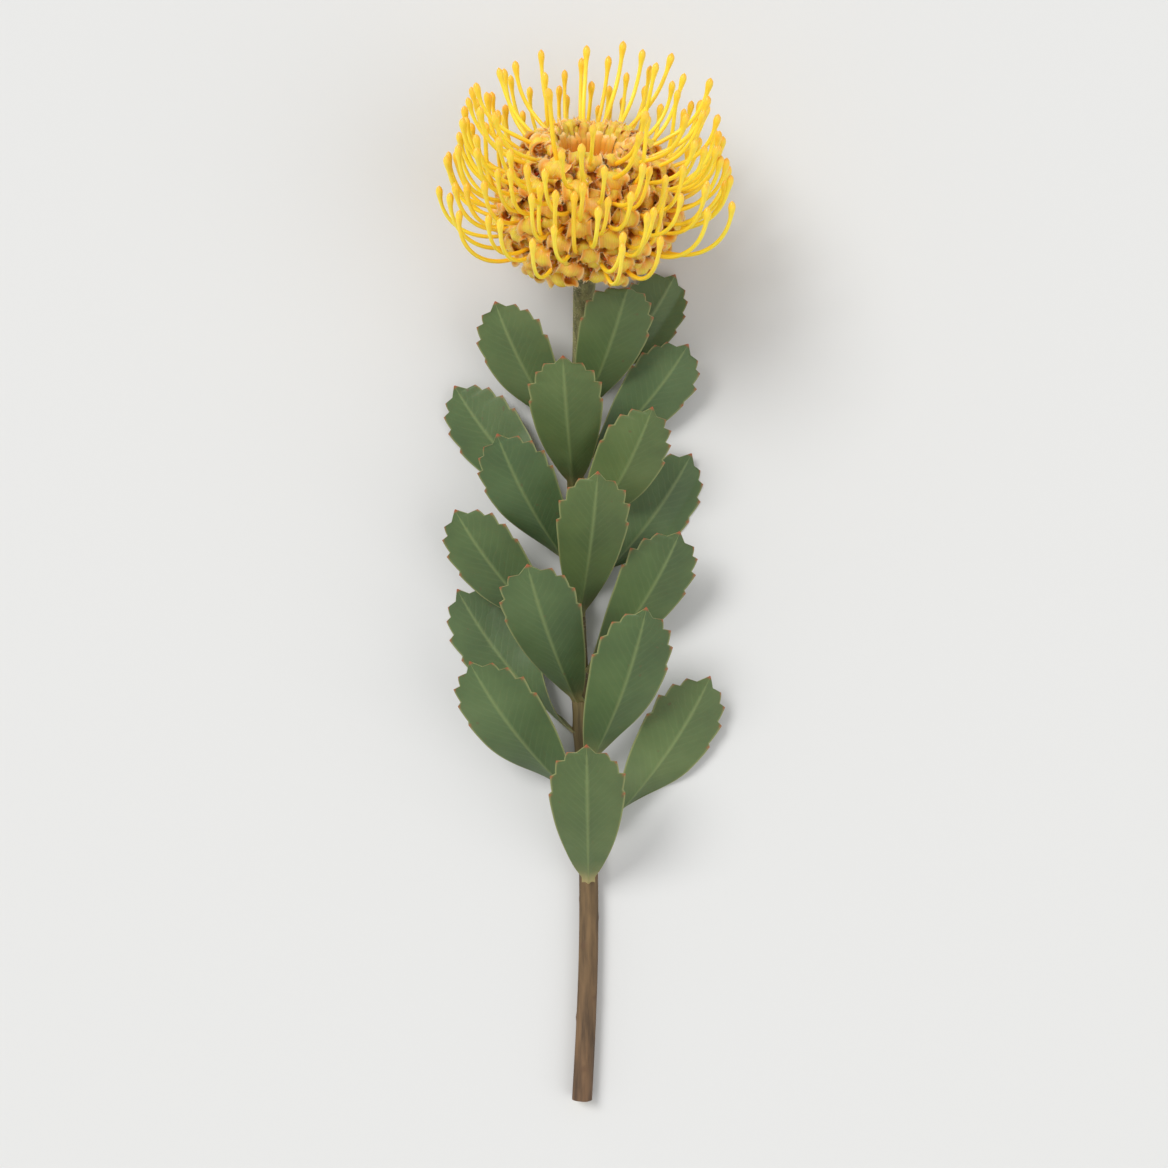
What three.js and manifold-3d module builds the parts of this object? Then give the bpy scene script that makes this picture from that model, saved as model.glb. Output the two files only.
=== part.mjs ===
// A cut pincushion protea lying on its side: a woody stem, its leaves, the involucre and the bloom.
// Millimetres, +Z up. The flower lies along +Y with the bloom at the +Y end, on the surface z = 0.
import * as THREE from "three";
import { mergeVertices } from "three/addons/utils/BufferGeometryUtils.js";
import Module from "manifold-3d";

const wasm = await Module();
wasm.setup();

const { degToRad, lerp, smoothstep, clamp } = THREE.MathUtils;

// The whole flower
const OVERALL_LENGTH = 400; // cut end to the furthest style tips
const TOUCHING_GAP = 0.3; // between neighbouring pieces
const GOLDEN_ANGLE = degToRad(137.508); // from one leaf or floret to the next

// Stem
const STEM_SIDES = 10;
const STEM_RINGS = 20;
const STEM_RADIUS_CUT = 3.9;
const STEM_RADIUS_NECK = 3.2;
const STEM_RADIUS_TOP = 4.2;
const STEM_SWELLING = 0.9; // share of the length where the neck starts to widen under the bloom
const STEM_SWAY = 2.6; // sideways
const STEM_SWAY_LENGTH = 290;
const STEM_BOW = 1.8; // how far the middle lifts off the surface
const STEM_LYING = 45; // length at the cut end that lies flat
const STEM_BOW_FULL = 200;

// Bloom: distances along its own axis are counted from the middle of the ball, up towards the styles
const HEAD_PITCH = degToRad(36); // of the bloom's axis above the surface
const HEAD_HEIGHT = 39.6; // middle of the ball above the surface
const HEAD_REACH = 66; // style tips ahead of the middle of the ball, along the surface
const STEM_TO_BALL = 29.3; // top of the stem to the middle of the ball

// Core, the dense body of perianth tubes that the florets stand out of
const CORE_RADIUS = 27;
const CORE_HALF_HEIGHT = 23;
const CORE_SIDES = 24;
const CORE_BANDS = 8;
const RIM_ANGLE = degToRad(26); // from the axis to the rim of the hollow
const SKIRT_ANGLE = degToRad(130); // from the axis to the lowest florets
// The floor of the hollow at its middle, its edge and the foot of the wall's steep part: radius and height
const HOLLOW = [[0, 4], [6.8, 4.5], [9.4, 12]];
const HOLLOW_FLUTE = 0.7; // the tubes of the inmost florets, as ribs of the wall
const FLUTED_WITHIN = 11.9; // of the axis
const PLUG_RADIUS = 8.5;
const PLUG_BOTTOM = -21;
const PLUG_TOP = -19.3;

// Florets
const FLORETS = 87;
const CURL_ROOT = 4; // below the surface of the core
const CURL_RADIUS = 3.2;
const CURL_RISE = 3.5; // of the centre of the roll above the core
const CURL_TURN = degToRad(235);
const CURL_WIDTH = 6.8; // where it is widest
const CURL_NARROWEST = 0.55; // as a share of that, if it tapered to its very ends
const CURL_TAPER = [0.25, 0.85]; // how far through the swelling its foot and its end are
const CURL_THICKNESS = 1.3;
const CURL_STEPS = 4;
const CURL_LEAN = degToRad(20); // sideways, at most
const CURL_SIZES = 0.14; // how much larger or smaller than the mean, at most
const CURL_SET_BACK = 1; // of the rising part, towards the middle of the bloom

// Styles
const STYLE_RADIUS = 0.94; // of its three corners
const STYLE_ROOT = 4.6;
const STYLE_ABOVE_CURL = 2.8;
const STYLE_LEAVES = [degToRad(50), degToRad(124)]; // angle from the axis, inmost and outmost florets
const STYLE_ENDS = [degToRad(12), degToRad(-4)];
const STYLE_TIP_RADIUS = [39, 54.5];
const STYLE_TIP_HEIGHT = [50, 9];
const STYLE_BULGE = 0.48; // how far the ends' directions carry, as a share of its span
const STYLE_SCATTER = 2.6;
const STYLE_DRIFT = degToRad(5); // round the bloom's axis, at most
const STYLE_END_SCATTER = degToRad(6);
const STYLE_STATIONS = [0, 0.2, 0.38, 0.54, 0.7]; // shares of its length, below the club
const STYLE_LOOK = 0.02; // share of its length over which its direction is taken
const INCURVED_EVERY = 11; // one style in this many bends in over the ball
const INCURVED_BY = 13;
const INCURVED_HIGHER = 5.2;
const PRESENTER_RADIUS = 1.6; // the club at the end of a style
const PRESENTER_LENGTH = 6.6;
const PRESENTER_WIDEST = 2.2; // from the tip
const PRESENTER_TIP_RADIUS = 0.5;
const STYLE_CLEARANCE = 0.55; // of a style's middle above the surface it is pressed on
const STYLE_SOFTNESS = 0.8; // how gently it bends on to the surface

// Involucre
const INVOLUCRE_TOP = PLUG_BOTTOM - TOUCHING_GAP;
const INVOLUCRE_BOTTOM = -STEM_TO_BALL + TOUCHING_GAP;
const INVOLUCRE_RADIUS = 9.4;
const INVOLUCRE_SIDES = 10;
const INVOLUCRE_FLARE = [[6.6, -26.6], [8.6, -23.4]]; // radius and height, from the stem outwards
// Each row of bracts: how many, where they start on the cup, their size and their angle above the cross-section
const BRACT_ROWS = [
  { count: 7, radius: 6.2, height: -26.4, length: 7, width: 7, tilt: degToRad(36) },
  { count: 10, radius: 8.4, height: -23.4, length: 8.6, width: 6.6, tilt: degToRad(30) },
];
const BRACT_THICKNESS = 1.2;
const BRACT_ROOT = 1.9; // set in the cup
// Along a bract from root to point: where, and its width and thickness as shares of the greatest
const BRACT_STATIONS = [
  { at: 0, wide: 1, thick: 1 },
  { at: 0.55, wide: 0.95, thick: 0.95 },
  { at: 1, wide: 0.12, thick: 0.4 },
];

// Leaves
const LEAVES = 18;
const LEAF_FIRST = 84; // along the stem from the cut end
const LEAF_LAST = 271;
const LEAF_CROWDING = 0.82; // below 1, the leaves stand closer towards the bloom
const LEAF_LENGTH = [76, 56]; // lowest and highest leaf
const LEAF_WIDTH = [28, 25];
const LEAF_SIZES = [3, 1.5]; // how much longer and wider than the mean, at most
const LEAF_THICKNESS = 0.9;
const LEAF_BASE_WIDTH = 5;
const LEAF_CLEAR = 0.6; // of the middle of its base from the stem, which leaves the gap under its lower face
const LEAF_AROUND = 0.58; // the leaves of the underside are pushed round to the sides
const LEAF_RISE = [degToRad(50), degToRad(27)]; // angle to the stem at the leaf's base and tip
const LEAF_RISE_SCATTER = degToRad(4);
const LEAF_FOLD = 0.2; // height of the edges over the midrib, per millimetre of width
const LEAF_TWIST = 0.8; // how far a side leaf turns its blade flat
const LEAF_TWISTED = 0.55; // share of its length by which it has turned
// The half-width swells as a power of the distance from the base and closes as a power towards a blunt end
const LEAF_SWELL = 0.62;
const LEAF_CLOSE = 0.55;
const LEAF_BLUNT = 4.2;
const LEAF_BLUNT_SCATTER = 0.9;
const LEAF_WIDEST = 0.7; // share of its length
const LEAF_SHOULDER = 0.96; // height of the edge's end, as a share of the midrib's
const LEAF_PRESS = 0.15; // how far a lying leaf is pressed on the surface
const HEAD_TO_LEAVES = 22; // behind the middle of the ball, where the leaves stay under the styles
const HEAD_SOFTNESS = 2; // how gently they bend away from there
const TOOTH_SIZES = [0.8, 0.35]; // the mean, and how much larger or smaller at most
const TOOTH_OUT = 1.1;
const TOOTH_FORWARD = 1.9;
const TOOTH_OVERHANG = 0.7; // most of the way to the foot of the next tooth
const NOTCH_IN = 0.9;
// Places along the edge, from base to end: a blade point, or the tip or foot of a tooth
const LEAF_EDGE = [
  { at: 0 },
  { at: 0.12 },
  { at: 0.27 },
  { at: 0.42 },
  { at: 0.56 },
  { at: 0.68, tooth: 0.7 },
  { at: 0.715, tooth: -0.6 },
  { at: 0.8, tooth: 1 },
  { at: 0.835, tooth: -1 },
  { at: 0.9, tooth: 1 },
  { at: 0.925, tooth: -1 },
  { at: 0.965, tooth: 1 },
  { at: 0.985, tooth: -1 },
];

// A repeatable draw from -1 to 1 for one piece and one of its features.
function scatter(index, feature) {
  const wave = Math.sin(index * 127.1 + feature * 311.7) * 43758.5453;
  return 2 * (wave - Math.floor(wave)) - 1;
}

// Keeps a value above a limit, and bends it towards the limit smoothly.
function softLimit(value, limit, softness) {
  const over = (value - limit) / softness;
  return over > 30 ? value : limit + softness * Math.log1p(Math.exp(over));
}

// Solids
function solid(geometry) {
  const bare = geometry.index ? geometry.toNonIndexed() : geometry.clone();
  bare.deleteAttribute("normal");
  bare.deleteAttribute("uv");
  const merged = mergeVertices(bare, 1e-4);
  const vertProperties = new Float32Array(merged.attributes.position.array);
  const triVerts = new Uint32Array(merged.index.array);
  const made = new wasm.Manifold(new wasm.Mesh({ numProp: 3, vertProperties, triVerts }));
  if (made.volume() > 0) return made;
  triVerts.reverse();
  return new wasm.Manifold(new wasm.Mesh({ numProp: 3, vertProperties, triVerts }));
}

function meshOf(name, made, material) {
  const { numProp, numVert, vertProperties, triVerts } = made.getMesh();
  const positions = new Float32Array(numVert * 3);
  for (let i = 0; i < numVert; i++) {
    positions.set(vertProperties.subarray(i * numProp, i * numProp + 3), i * 3);
  }
  const geometry = new THREE.BufferGeometry();
  geometry.setAttribute("position", new THREE.BufferAttribute(positions, 3));
  geometry.setIndex(new THREE.BufferAttribute(new Uint32Array(triVerts), 1));
  const mesh = new THREE.Mesh(geometry, material);
  mesh.name = name;
  return mesh;
}

// A closed rod round a path. path(s), for s from 0 to 1, gives its centre and its two half-width vectors.
function rod(path, sides, steps) {
  const geometry = new THREE.CylinderGeometry(1, 1, 1, sides, steps);
  const position = geometry.getAttribute("position");
  for (let i = 0; i < position.count; i++) {
    const { centre, across, over } = path(position.getY(i) + 0.5);
    centre.addScaledVector(across, position.getX(i)).addScaledVector(over, position.getZ(i));
    position.setXYZ(i, centre.x, centre.y, centre.z);
  }
  return solid(geometry);
}

// A thin blade from a grid of points of its middle surface, with triangles alike on both faces and on both sides
// of the middle column, so that none reaches over the foot of a tooth. Its thickness stands square to each row and
// to the middle column. It ends flat where it lies pressed on the surface.
function blade(points, thickness) {
  const rows = points.length;
  const columns = points[0].length;
  const count = rows * columns;
  const positions = [];
  const middle = (columns - 1) / 2;
  for (const side of [1, -1]) {
    for (let j = 0; j < rows; j++) {
      const along = points[Math.min(j + 1, rows - 1)][middle].clone().sub(points[Math.max(j - 1, 0)][middle]);
      for (let i = 0; i < columns; i++) {
        const across = points[j][Math.min(i + 1, columns - 1)].clone().sub(points[j][Math.max(i - 1, 0)]);
        const normal = across.cross(along).normalize();
        const point = points[j][i].clone().addScaledVector(normal, (side * thickness) / 2);
        positions.push(point.x, point.y, Math.max(point.z, 0));
      }
    }
  }
  const front = [];
  for (let a = 0; a < count - columns; a++) {
    const i = a % columns;
    const b = a + columns;
    if (i < middle) front.push(a, b, a + 1, b, b + 1, a + 1);
    else if (i < columns - 1) front.push(a, b, b + 1, a, b + 1, a + 1);
  }
  const back = front.map((v) => v + count).reverse();
  const rim = [];
  for (let i = 0; i < columns; i++) rim.push(i);
  for (let j = 1; j < rows; j++) rim.push(j * columns + columns - 1);
  for (let i = columns - 2; i >= 0; i--) rim.push((rows - 1) * columns + i);
  for (let j = rows - 2; j > 0; j--) rim.push(j * columns);
  const wall = rim.flatMap((a, k) => {
    const b = rim[(k + 1) % rim.length];
    return [a, b, b + count, a, b + count, a + count];
  });
  const geometry = new THREE.BufferGeometry();
  geometry.setAttribute("position", new THREE.Float32BufferAttribute(positions, 3));
  geometry.setIndex([...front, ...back, ...wall]);
  return solid(geometry);
}

// What lies pressed on the surface is flat there, and the crumbs that this leaves are dropped.
function aboveSurface(made) {
  const below = new THREE.BoxGeometry(3 * OVERALL_LENGTH, 3 * OVERALL_LENGTH, OVERALL_LENGTH);
  below.translate(0, 0, -OVERALL_LENGTH / 2);
  const bodies = made.subtract(solid(below)).decompose();
  return bodies.reduce((largest, body) => (body.volume() > largest.volume() ? body : largest));
}

// Stem
const ballY = OVERALL_LENGTH - HEAD_REACH;
const stemTopY = ballY - STEM_TO_BALL * Math.cos(HEAD_PITCH);
const stemTopHeight = HEAD_HEIGHT - STEM_TO_BALL * Math.sin(HEAD_PITCH);
const facetShare = Math.cos(Math.PI / STEM_SIDES);
const lyingHeight = STEM_RADIUS_NECK * facetShare + STEM_BOW;
const neckRun = (2 * (stemTopHeight - lyingHeight)) / Math.tan(HEAD_PITCH);
const neckStartY = stemTopY - neckRun;

function stemRadius(y) {
  const s = clamp(y / stemTopY, 0, 1);
  const taper = lerp(STEM_RADIUS_CUT, STEM_RADIUS_NECK, Math.min(1, y / neckStartY));
  return lerp(taper, STEM_RADIUS_TOP, smoothstep(s, STEM_SWELLING, 1));
}

function stemPoint(y) {
  const rise = Math.max(0, y - neckStartY) ** 2 * (Math.tan(HEAD_PITCH) / (2 * neckRun));
  const taper = lerp(STEM_RADIUS_CUT, STEM_RADIUS_NECK, Math.min(1, y / neckStartY));
  const bow = STEM_BOW * smoothstep(y, STEM_LYING, STEM_BOW_FULL);
  const sway = STEM_SWAY * Math.sin((2 * Math.PI * y) / STEM_SWAY_LENGTH);
  return new THREE.Vector3(sway, y, taper * facetShare + bow + rise);
}

// The stem's own directions at one place: along it, out to its right and out of its upper side.
function stemFrame(y) {
  const along = stemPoint(y + 0.5).sub(stemPoint(y - 0.5)).normalize();
  const right = new THREE.Vector3(0, 0, 1).cross(along).negate().normalize();
  const up = right.clone().cross(along).normalize();
  return { along, right, up };
}

function stemSolid() {
  const path = (s) => {
    const y = s * stemTopY;
    const { right, up } = stemFrame(y);
    const radius = stemRadius(y);
    return { centre: stemPoint(y), across: right.multiplyScalar(radius), over: up.multiplyScalar(radius) };
  };
  return rod(path, STEM_SIDES, STEM_RINGS);
}

// Bloom
const { along: headAxis, right: headRight, up: headUp } = stemFrame(stemTopY);
const ballCentre = stemPoint(stemTopY).addScaledVector(headAxis, STEM_TO_BALL);

const outward = (around) =>
  headRight.clone().multiplyScalar(Math.sin(around)).addScaledVector(headUp, Math.cos(around));

// A point of the bloom by its distance from the axis, its turn round it and its height along it.
function inHead(radius, around, height) {
  return ballCentre.clone().addScaledVector(headAxis, height).addScaledVector(outward(around), radius);
}

// A profile turned round the bloom's axis. reshape(radius, around, height) may move each point.
function turned(profile, sides, reshape = (radius) => radius) {
  const geometry = new THREE.LatheGeometry(profile.map(([r, h]) => new THREE.Vector2(r, h)), sides);
  const position = geometry.getAttribute("position");
  for (let i = 0; i < position.count; i++) {
    const [x, height, z] = [position.getX(i), position.getY(i), position.getZ(i)];
    const around = Math.atan2(x, z);
    const point = inHead(reshape(Math.hypot(x, z), around, height), around, height);
    position.setXYZ(i, point.x, point.y, point.z);
  }
  return solid(geometry);
}

function coreSolid() {
  const profile = [...HOLLOW];
  for (let k = 0; k <= CORE_BANDS; k++) {
    const angle = lerp(RIM_ANGLE, SKIRT_ANGLE, k / CORE_BANDS);
    profile.push([CORE_RADIUS * Math.sin(angle), CORE_HALF_HEIGHT * Math.cos(angle)]);
  }
  profile.push([PLUG_RADIUS, PLUG_TOP], [PLUG_RADIUS, PLUG_BOTTOM], [0, PLUG_BOTTOM]);
  const flutes = (radius, around, height) => {
    const inHollow = height > HOLLOW[0][1] && radius > 0 && radius < FLUTED_WITHIN;
    return inHollow ? radius + HOLLOW_FLUTE * Math.cos((around * CORE_SIDES) / 2) : radius;
  };
  return turned(profile, CORE_SIDES, flutes);
}

// Where a floret stands: 0 to 1 from the rim of the hollow to the skirt, with its own directions.
function floretFrame(index) {
  const area = (index + 0.5) / FLORETS;
  const angle = Math.acos(lerp(Math.cos(RIM_ANGLE), Math.cos(SKIRT_ANGLE), area));
  const around = index * GOLDEN_ANGLE;
  const radial = outward(around);
  const foot = inHead(CORE_RADIUS * Math.sin(angle), around, CORE_HALF_HEIGHT * Math.cos(angle));
  const out = radial.clone().multiplyScalar(Math.sin(angle) / CORE_RADIUS);
  out.addScaledVector(headAxis, Math.cos(angle) / CORE_HALF_HEIGHT).normalize();
  const side = headAxis.clone().cross(radial).normalize();
  const down = side.clone().cross(out).normalize();
  if (down.dot(headAxis) > 0) down.negate();
  return { share: (angle - RIM_ANGLE) / (SKIRT_ANGLE - RIM_ANGLE), around, foot, out, side, down };
}

// The perianth of a floret, rolled back over itself away from the middle of the bloom.
function curlSolid(index) {
  const { foot, out, side, down } = floretFrame(index);
  const lean = scatter(index, 1) * CURL_LEAN;
  const roll = down.clone().applyAxisAngle(out, lean);
  const wide = side.clone().applyAxisAngle(out, lean);
  const size = 1 + CURL_SIZES * scatter(index, 2);
  const path = (s) => {
    const turn = Math.max(0, (s * CURL_STEPS - 1) / (CURL_STEPS - 1)) * CURL_TURN;
    const fall = CURL_RADIUS * (1 - Math.cos(turn));
    const rise = CURL_RISE + CURL_RADIUS * Math.sin(turn);
    const centre = foot.clone().addScaledVector(roll, size * (fall - CURL_SET_BACK));
    centre.addScaledVector(out, s > 0 ? size * rise : -CURL_ROOT);
    const heading = out.clone().multiplyScalar(Math.cos(turn)).addScaledVector(roll, Math.sin(turn));
    const swelling = Math.sin(Math.PI * lerp(...CURL_TAPER, s));
    const width = CURL_WIDTH * size * lerp(CURL_NARROWEST, 1, swelling);
    return {
      centre,
      across: wide.clone().multiplyScalar(width / Math.sqrt(3)),
      over: wide.clone().cross(heading).multiplyScalar(CURL_THICKNESS),
    };
  };
  return rod(path, 3, CURL_STEPS);
}

function styleTip(index, share) {
  const incurved = index % INCURVED_EVERY === 5 ? INCURVED_BY : 0;
  const radius = lerp(...STYLE_TIP_RADIUS, share) + STYLE_SCATTER * scatter(index, 3) - incurved;
  const height = lerp(...STYLE_TIP_HEIGHT, share) + STYLE_SCATTER * scatter(index, 4);
  return { radius, height: incurved ? height + INCURVED_HIGHER : height };
}

// The line of a style: out between the perianths, then up round the ball to its tip.
function styleCurve(index) {
  const { share, around, foot, out, down } = floretFrame(index);
  const drift = STYLE_DRIFT * scatter(index, 5);
  const { radius, height } = styleTip(index, share);
  const leaving = lerp(...STYLE_LEAVES, share);
  const ending = lerp(...STYLE_ENDS, share) + STYLE_END_SCATTER * scatter(index, 6);
  const start = foot.clone().addScaledVector(out, -STYLE_ROOT).addScaledVector(down, -STYLE_ABOVE_CURL);
  const tip = inHead(radius, around + drift, height);
  const span = start.distanceTo(tip);
  const direction = (angle, turn) =>
    outward(turn).multiplyScalar(Math.sin(angle)).addScaledVector(headAxis, Math.cos(angle));
  const first = start.clone().addScaledVector(direction(leaving, around), span * STYLE_BULGE);
  const second = tip.clone().addScaledVector(direction(ending, around + drift), -span * STYLE_BULGE);
  return new THREE.CubicBezierCurve3(start, first, second, tip);
}

function pressed(point) {
  point.z = softLimit(point.z, STYLE_CLEARANCE, STYLE_SOFTNESS);
  return point;
}

function styleSolid(index) {
  const curve = styleCurve(index);
  const { side } = floretFrame(index);
  const length = curve.getLength();
  const stations = STYLE_STATIONS.map((at) => ({ at, radius: STYLE_RADIUS }));
  stations.push({ at: 1 - PRESENTER_LENGTH / length, radius: STYLE_RADIUS });
  stations.push({ at: 1 - PRESENTER_WIDEST / length, radius: PRESENTER_RADIUS });
  stations.push({ at: 1, radius: PRESENTER_TIP_RADIUS });
  const last = stations.length - 1;
  const path = (s) => {
    const { at, radius } = stations[Math.round(s * last)];
    const centre = pressed(curve.getPointAt(at));
    const ahead = pressed(curve.getPointAt(Math.min(1, at + STYLE_LOOK)));
    const behind = pressed(curve.getPointAt(Math.max(0, at - STYLE_LOOK)));
    const along = ahead.sub(behind).normalize();
    const over = side.clone().cross(along).normalize();
    const across = along.clone().cross(over);
    return { centre, across: across.multiplyScalar(radius), over: over.multiplyScalar(radius) };
  };
  return rod(path, 3, last);
}

function headSolid() {
  const pieces = [coreSolid()];
  for (let i = 0; i < FLORETS; i++) pieces.push(curlSolid(i), styleSolid(i));
  return aboveSurface(wasm.Manifold.union(pieces));
}

// Involucre
function bractSolid(row, index) {
  const around = ((index + (row % 2) / 2) / BRACT_ROWS[row].count) * 2 * Math.PI;
  const { radius, height, length, width, tilt } = BRACT_ROWS[row];
  const radial = outward(around);
  const ahead = radial.clone().multiplyScalar(Math.cos(tilt)).addScaledVector(headAxis, Math.sin(tilt));
  const across = headAxis.clone().cross(radial).normalize();
  const over = ahead.clone().cross(across).normalize();
  const foot = inHead(radius, around, height).addScaledVector(ahead, -BRACT_ROOT);
  const last = BRACT_STATIONS.length - 1;
  const path = (s) => {
    const { at, wide, thick } = BRACT_STATIONS[Math.round(s * last)];
    return {
      centre: foot.clone().addScaledVector(ahead, at * (length + BRACT_ROOT)),
      across: across.clone().multiplyScalar((wide * width) / 2),
      over: over.clone().multiplyScalar((thick * BRACT_THICKNESS) / 2),
    };
  };
  return rod(path, 3, last);
}

function involucreSolid() {
  const cup = turned(
    [
      [0, INVOLUCRE_BOTTOM],
      [STEM_RADIUS_TOP + TOUCHING_GAP, INVOLUCRE_BOTTOM],
      ...INVOLUCRE_FLARE,
      [INVOLUCRE_RADIUS, INVOLUCRE_TOP],
      [0, INVOLUCRE_TOP],
    ],
    INVOLUCRE_SIDES,
  );
  const bracts = BRACT_ROWS.flatMap(({ count }, row) =>
    Array.from({ length: count }, (_, index) => bractSolid(row, index)),
  );
  return wasm.Manifold.union([cup, ...bracts]);
}

// Leaves
function leafFigures(index) {
  const share = index / (LEAVES - 1);
  const turns = (index * GOLDEN_ANGLE) / (2 * Math.PI);
  return {
    y: lerp(LEAF_FIRST, LEAF_LAST, share ** LEAF_CROWDING),
    azimuth: 2 * Math.PI * (turns - Math.round(turns)) * LEAF_AROUND,
    length: lerp(...LEAF_LENGTH, share) + LEAF_SIZES[0] * scatter(index, 11),
    width: lerp(...LEAF_WIDTH, share) + LEAF_SIZES[1] * scatter(index, 12),
  };
}

// One place on the edge of a leaf, in its own flat plane, as distance from the midrib and height from the base.
function leafEdge(index, side, place) {
  const { at, tooth = 0 } = LEAF_EDGE[place];
  const { length, width } = leafFigures(index);
  const blunt = LEAF_BLUNT + LEAF_BLUNT_SCATTER * scatter(index, 13);
  const swell = (t) => t ** LEAF_SWELL * (1 - t ** blunt) ** LEAF_CLOSE;
  const outline = (width / 2) * (swell(at) / swell(LEAF_WIDEST));
  const size = tooth * (TOOTH_SIZES[0] + TOOTH_SIZES[1] * scatter(index * 2 + side, 14 + place));
  const across = outline + (tooth > 0 ? TOOTH_OUT : NOTCH_IN) * size;
  const height = at * length * LEAF_SHOULDER;
  if (tooth <= 0) return { across: Math.max(LEAF_BASE_WIDTH / 2, across), height };
  const room = (LEAF_EDGE[place + 1].at - at) * length * LEAF_SHOULDER;
  return { across, height: height + Math.min(TOOTH_FORWARD * size, TOOTH_OVERHANG * room) };
}

// A leaf leaves the stem at a wide angle and bends up along it.
function leafFrame(index) {
  const { y, azimuth, length } = leafFigures(index);
  const { along, right, up } = stemFrame(y);
  const radial = right.clone().multiplyScalar(Math.sin(azimuth)).addScaledVector(up, Math.cos(azimuth));
  const tangent = right.clone().multiplyScalar(Math.cos(azimuth)).addScaledVector(up, -Math.sin(azimuth));
  const base = stemPoint(y).addScaledVector(radial, stemRadius(y) + LEAF_CLEAR);
  const rise = LEAF_RISE.map((angle) => angle + LEAF_RISE_SCATTER * scatter(index, 15));
  return { base, along, radial, tangent, rise, azimuth, length };
}

// The place and direction of a leaf's midrib at a height from its base.
function midrib({ base, along, radial, rise, length }, height) {
  const angle = lerp(...rise, height / length);
  const bend = (rise[1] - rise[0]) / length;
  const ahead = (Math.sin(angle) - Math.sin(rise[0])) / bend;
  const out = (Math.cos(rise[0]) - Math.cos(angle)) / bend;
  const middle = base.clone().addScaledVector(along, ahead).addScaledVector(radial, out);
  const heading = along.clone().multiplyScalar(Math.cos(angle)).addScaledVector(radial, Math.sin(angle));
  return { middle, heading };
}

// A point of a leaf's middle surface by its distance across from the midrib and its height from the base.
function leafPoint(frame, across, height) {
  const { middle, heading } = midrib(frame, height);
  const twist = -frame.azimuth * LEAF_TWIST * smoothstep(height / frame.length, 0, LEAF_TWISTED);
  const wide = frame.tangent.clone().applyAxisAngle(heading, twist);
  const inner = heading.clone().cross(wide).normalize();
  middle.addScaledVector(wide, across).addScaledVector(inner, Math.abs(across) * LEAF_FOLD);
  return onSurface(underHead(middle));
}

function onSurface(point) {
  point.z = Math.max(point.z, LEAF_THICKNESS / 2 - LEAF_PRESS);
  return point;
}

function underHead(point) {
  const height = point.clone().sub(ballCentre).dot(headAxis);
  return point.addScaledVector(headAxis, -softLimit(-height, HEAD_TO_LEAVES, HEAD_SOFTNESS) - height);
}

function leafSolid(index) {
  const frame = leafFrame(index);
  const rows = LEAF_EDGE.map((_, place) => {
    const left = leafEdge(index, 0, place);
    const right = leafEdge(index, 1, place);
    const atEnd = place === LEAF_EDGE.length - 1;
    return [
      leafPoint(frame, -left.across, left.height),
      leafPoint(frame, 0, atEnd ? frame.length : (left.height + right.height) / 2),
      leafPoint(frame, right.across, right.height),
    ];
  });
  return blade(rows, LEAF_THICKNESS);
}

// Materials
const finish = (color, roughness) => new THREE.MeshStandardMaterial({ color, roughness, metalness: 0 });
const bark = finish(0x7d7a4a, 0.8);
const leafGreen = finish(0x5f7a58, 0.6);
const bractBrown = finish(0x8f7f55, 0.85);
const bloomYellow = finish(0xe8a92c, 0.6);

const flower = new THREE.Group();
flower.add(meshOf("stem", aboveSurface(stemSolid()), bark));
for (let i = 0; i < LEAVES; i++) {
  flower.add(meshOf(`leaf_${String(i + 1).padStart(2, "0")}`, leafSolid(i), leafGreen));
}
flower.add(meshOf("involucre", involucreSolid(), bractBrown));
flower.add(meshOf("flower_head", headSolid(), bloomYellow));

// The origin is on the surface, under the middle of the flower.
const box = new THREE.Box3().setFromObject(flower);
const middle = box.getCenter(new THREE.Vector3());
flower.position.set(-middle.x, -middle.y, -box.min.z);
flower.updateMatrixWorld(true);

export default flower;
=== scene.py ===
"""The looks of a cut pincushion protea that lies on its side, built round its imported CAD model.

The forms follow the same rules and driving dimensions as the solids, with finer meshes. Lengths are in
millimetres until the meshes are made. Local coordinates have the stem's cut end at the origin.
"""

import math

import bpy
import numpy as np
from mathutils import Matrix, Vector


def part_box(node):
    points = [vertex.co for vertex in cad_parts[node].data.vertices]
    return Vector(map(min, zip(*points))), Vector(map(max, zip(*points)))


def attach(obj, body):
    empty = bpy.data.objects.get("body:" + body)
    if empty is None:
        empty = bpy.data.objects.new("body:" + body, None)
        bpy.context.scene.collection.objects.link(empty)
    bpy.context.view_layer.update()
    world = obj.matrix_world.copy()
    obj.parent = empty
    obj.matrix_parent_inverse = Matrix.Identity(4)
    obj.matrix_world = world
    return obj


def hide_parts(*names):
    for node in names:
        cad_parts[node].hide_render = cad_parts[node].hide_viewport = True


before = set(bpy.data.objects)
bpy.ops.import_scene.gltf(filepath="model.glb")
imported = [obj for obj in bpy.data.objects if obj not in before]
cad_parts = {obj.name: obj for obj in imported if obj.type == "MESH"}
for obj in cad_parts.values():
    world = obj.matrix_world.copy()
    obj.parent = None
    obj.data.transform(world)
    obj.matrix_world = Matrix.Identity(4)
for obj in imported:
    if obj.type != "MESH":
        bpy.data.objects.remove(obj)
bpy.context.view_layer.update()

# The whole flower
OVERALL_LENGTH = 400
GOLDEN_ANGLE = math.radians(137.508)

# Stem
STEM_RADIUS_CUT = 3.9
STEM_RADIUS_NECK = 3.2
STEM_RADIUS_TOP = 4.2
STEM_SWELLING = 0.9
STEM_SWAY = 2.6
STEM_SWAY_LENGTH = 290
STEM_BOW = 1.8
STEM_LYING = 45
STEM_BOW_FULL = 200
STEM_SIDES = 10
CAD_STEM_RINGS = 21
STEM_FACET = math.cos(math.pi / STEM_SIDES)

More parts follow.
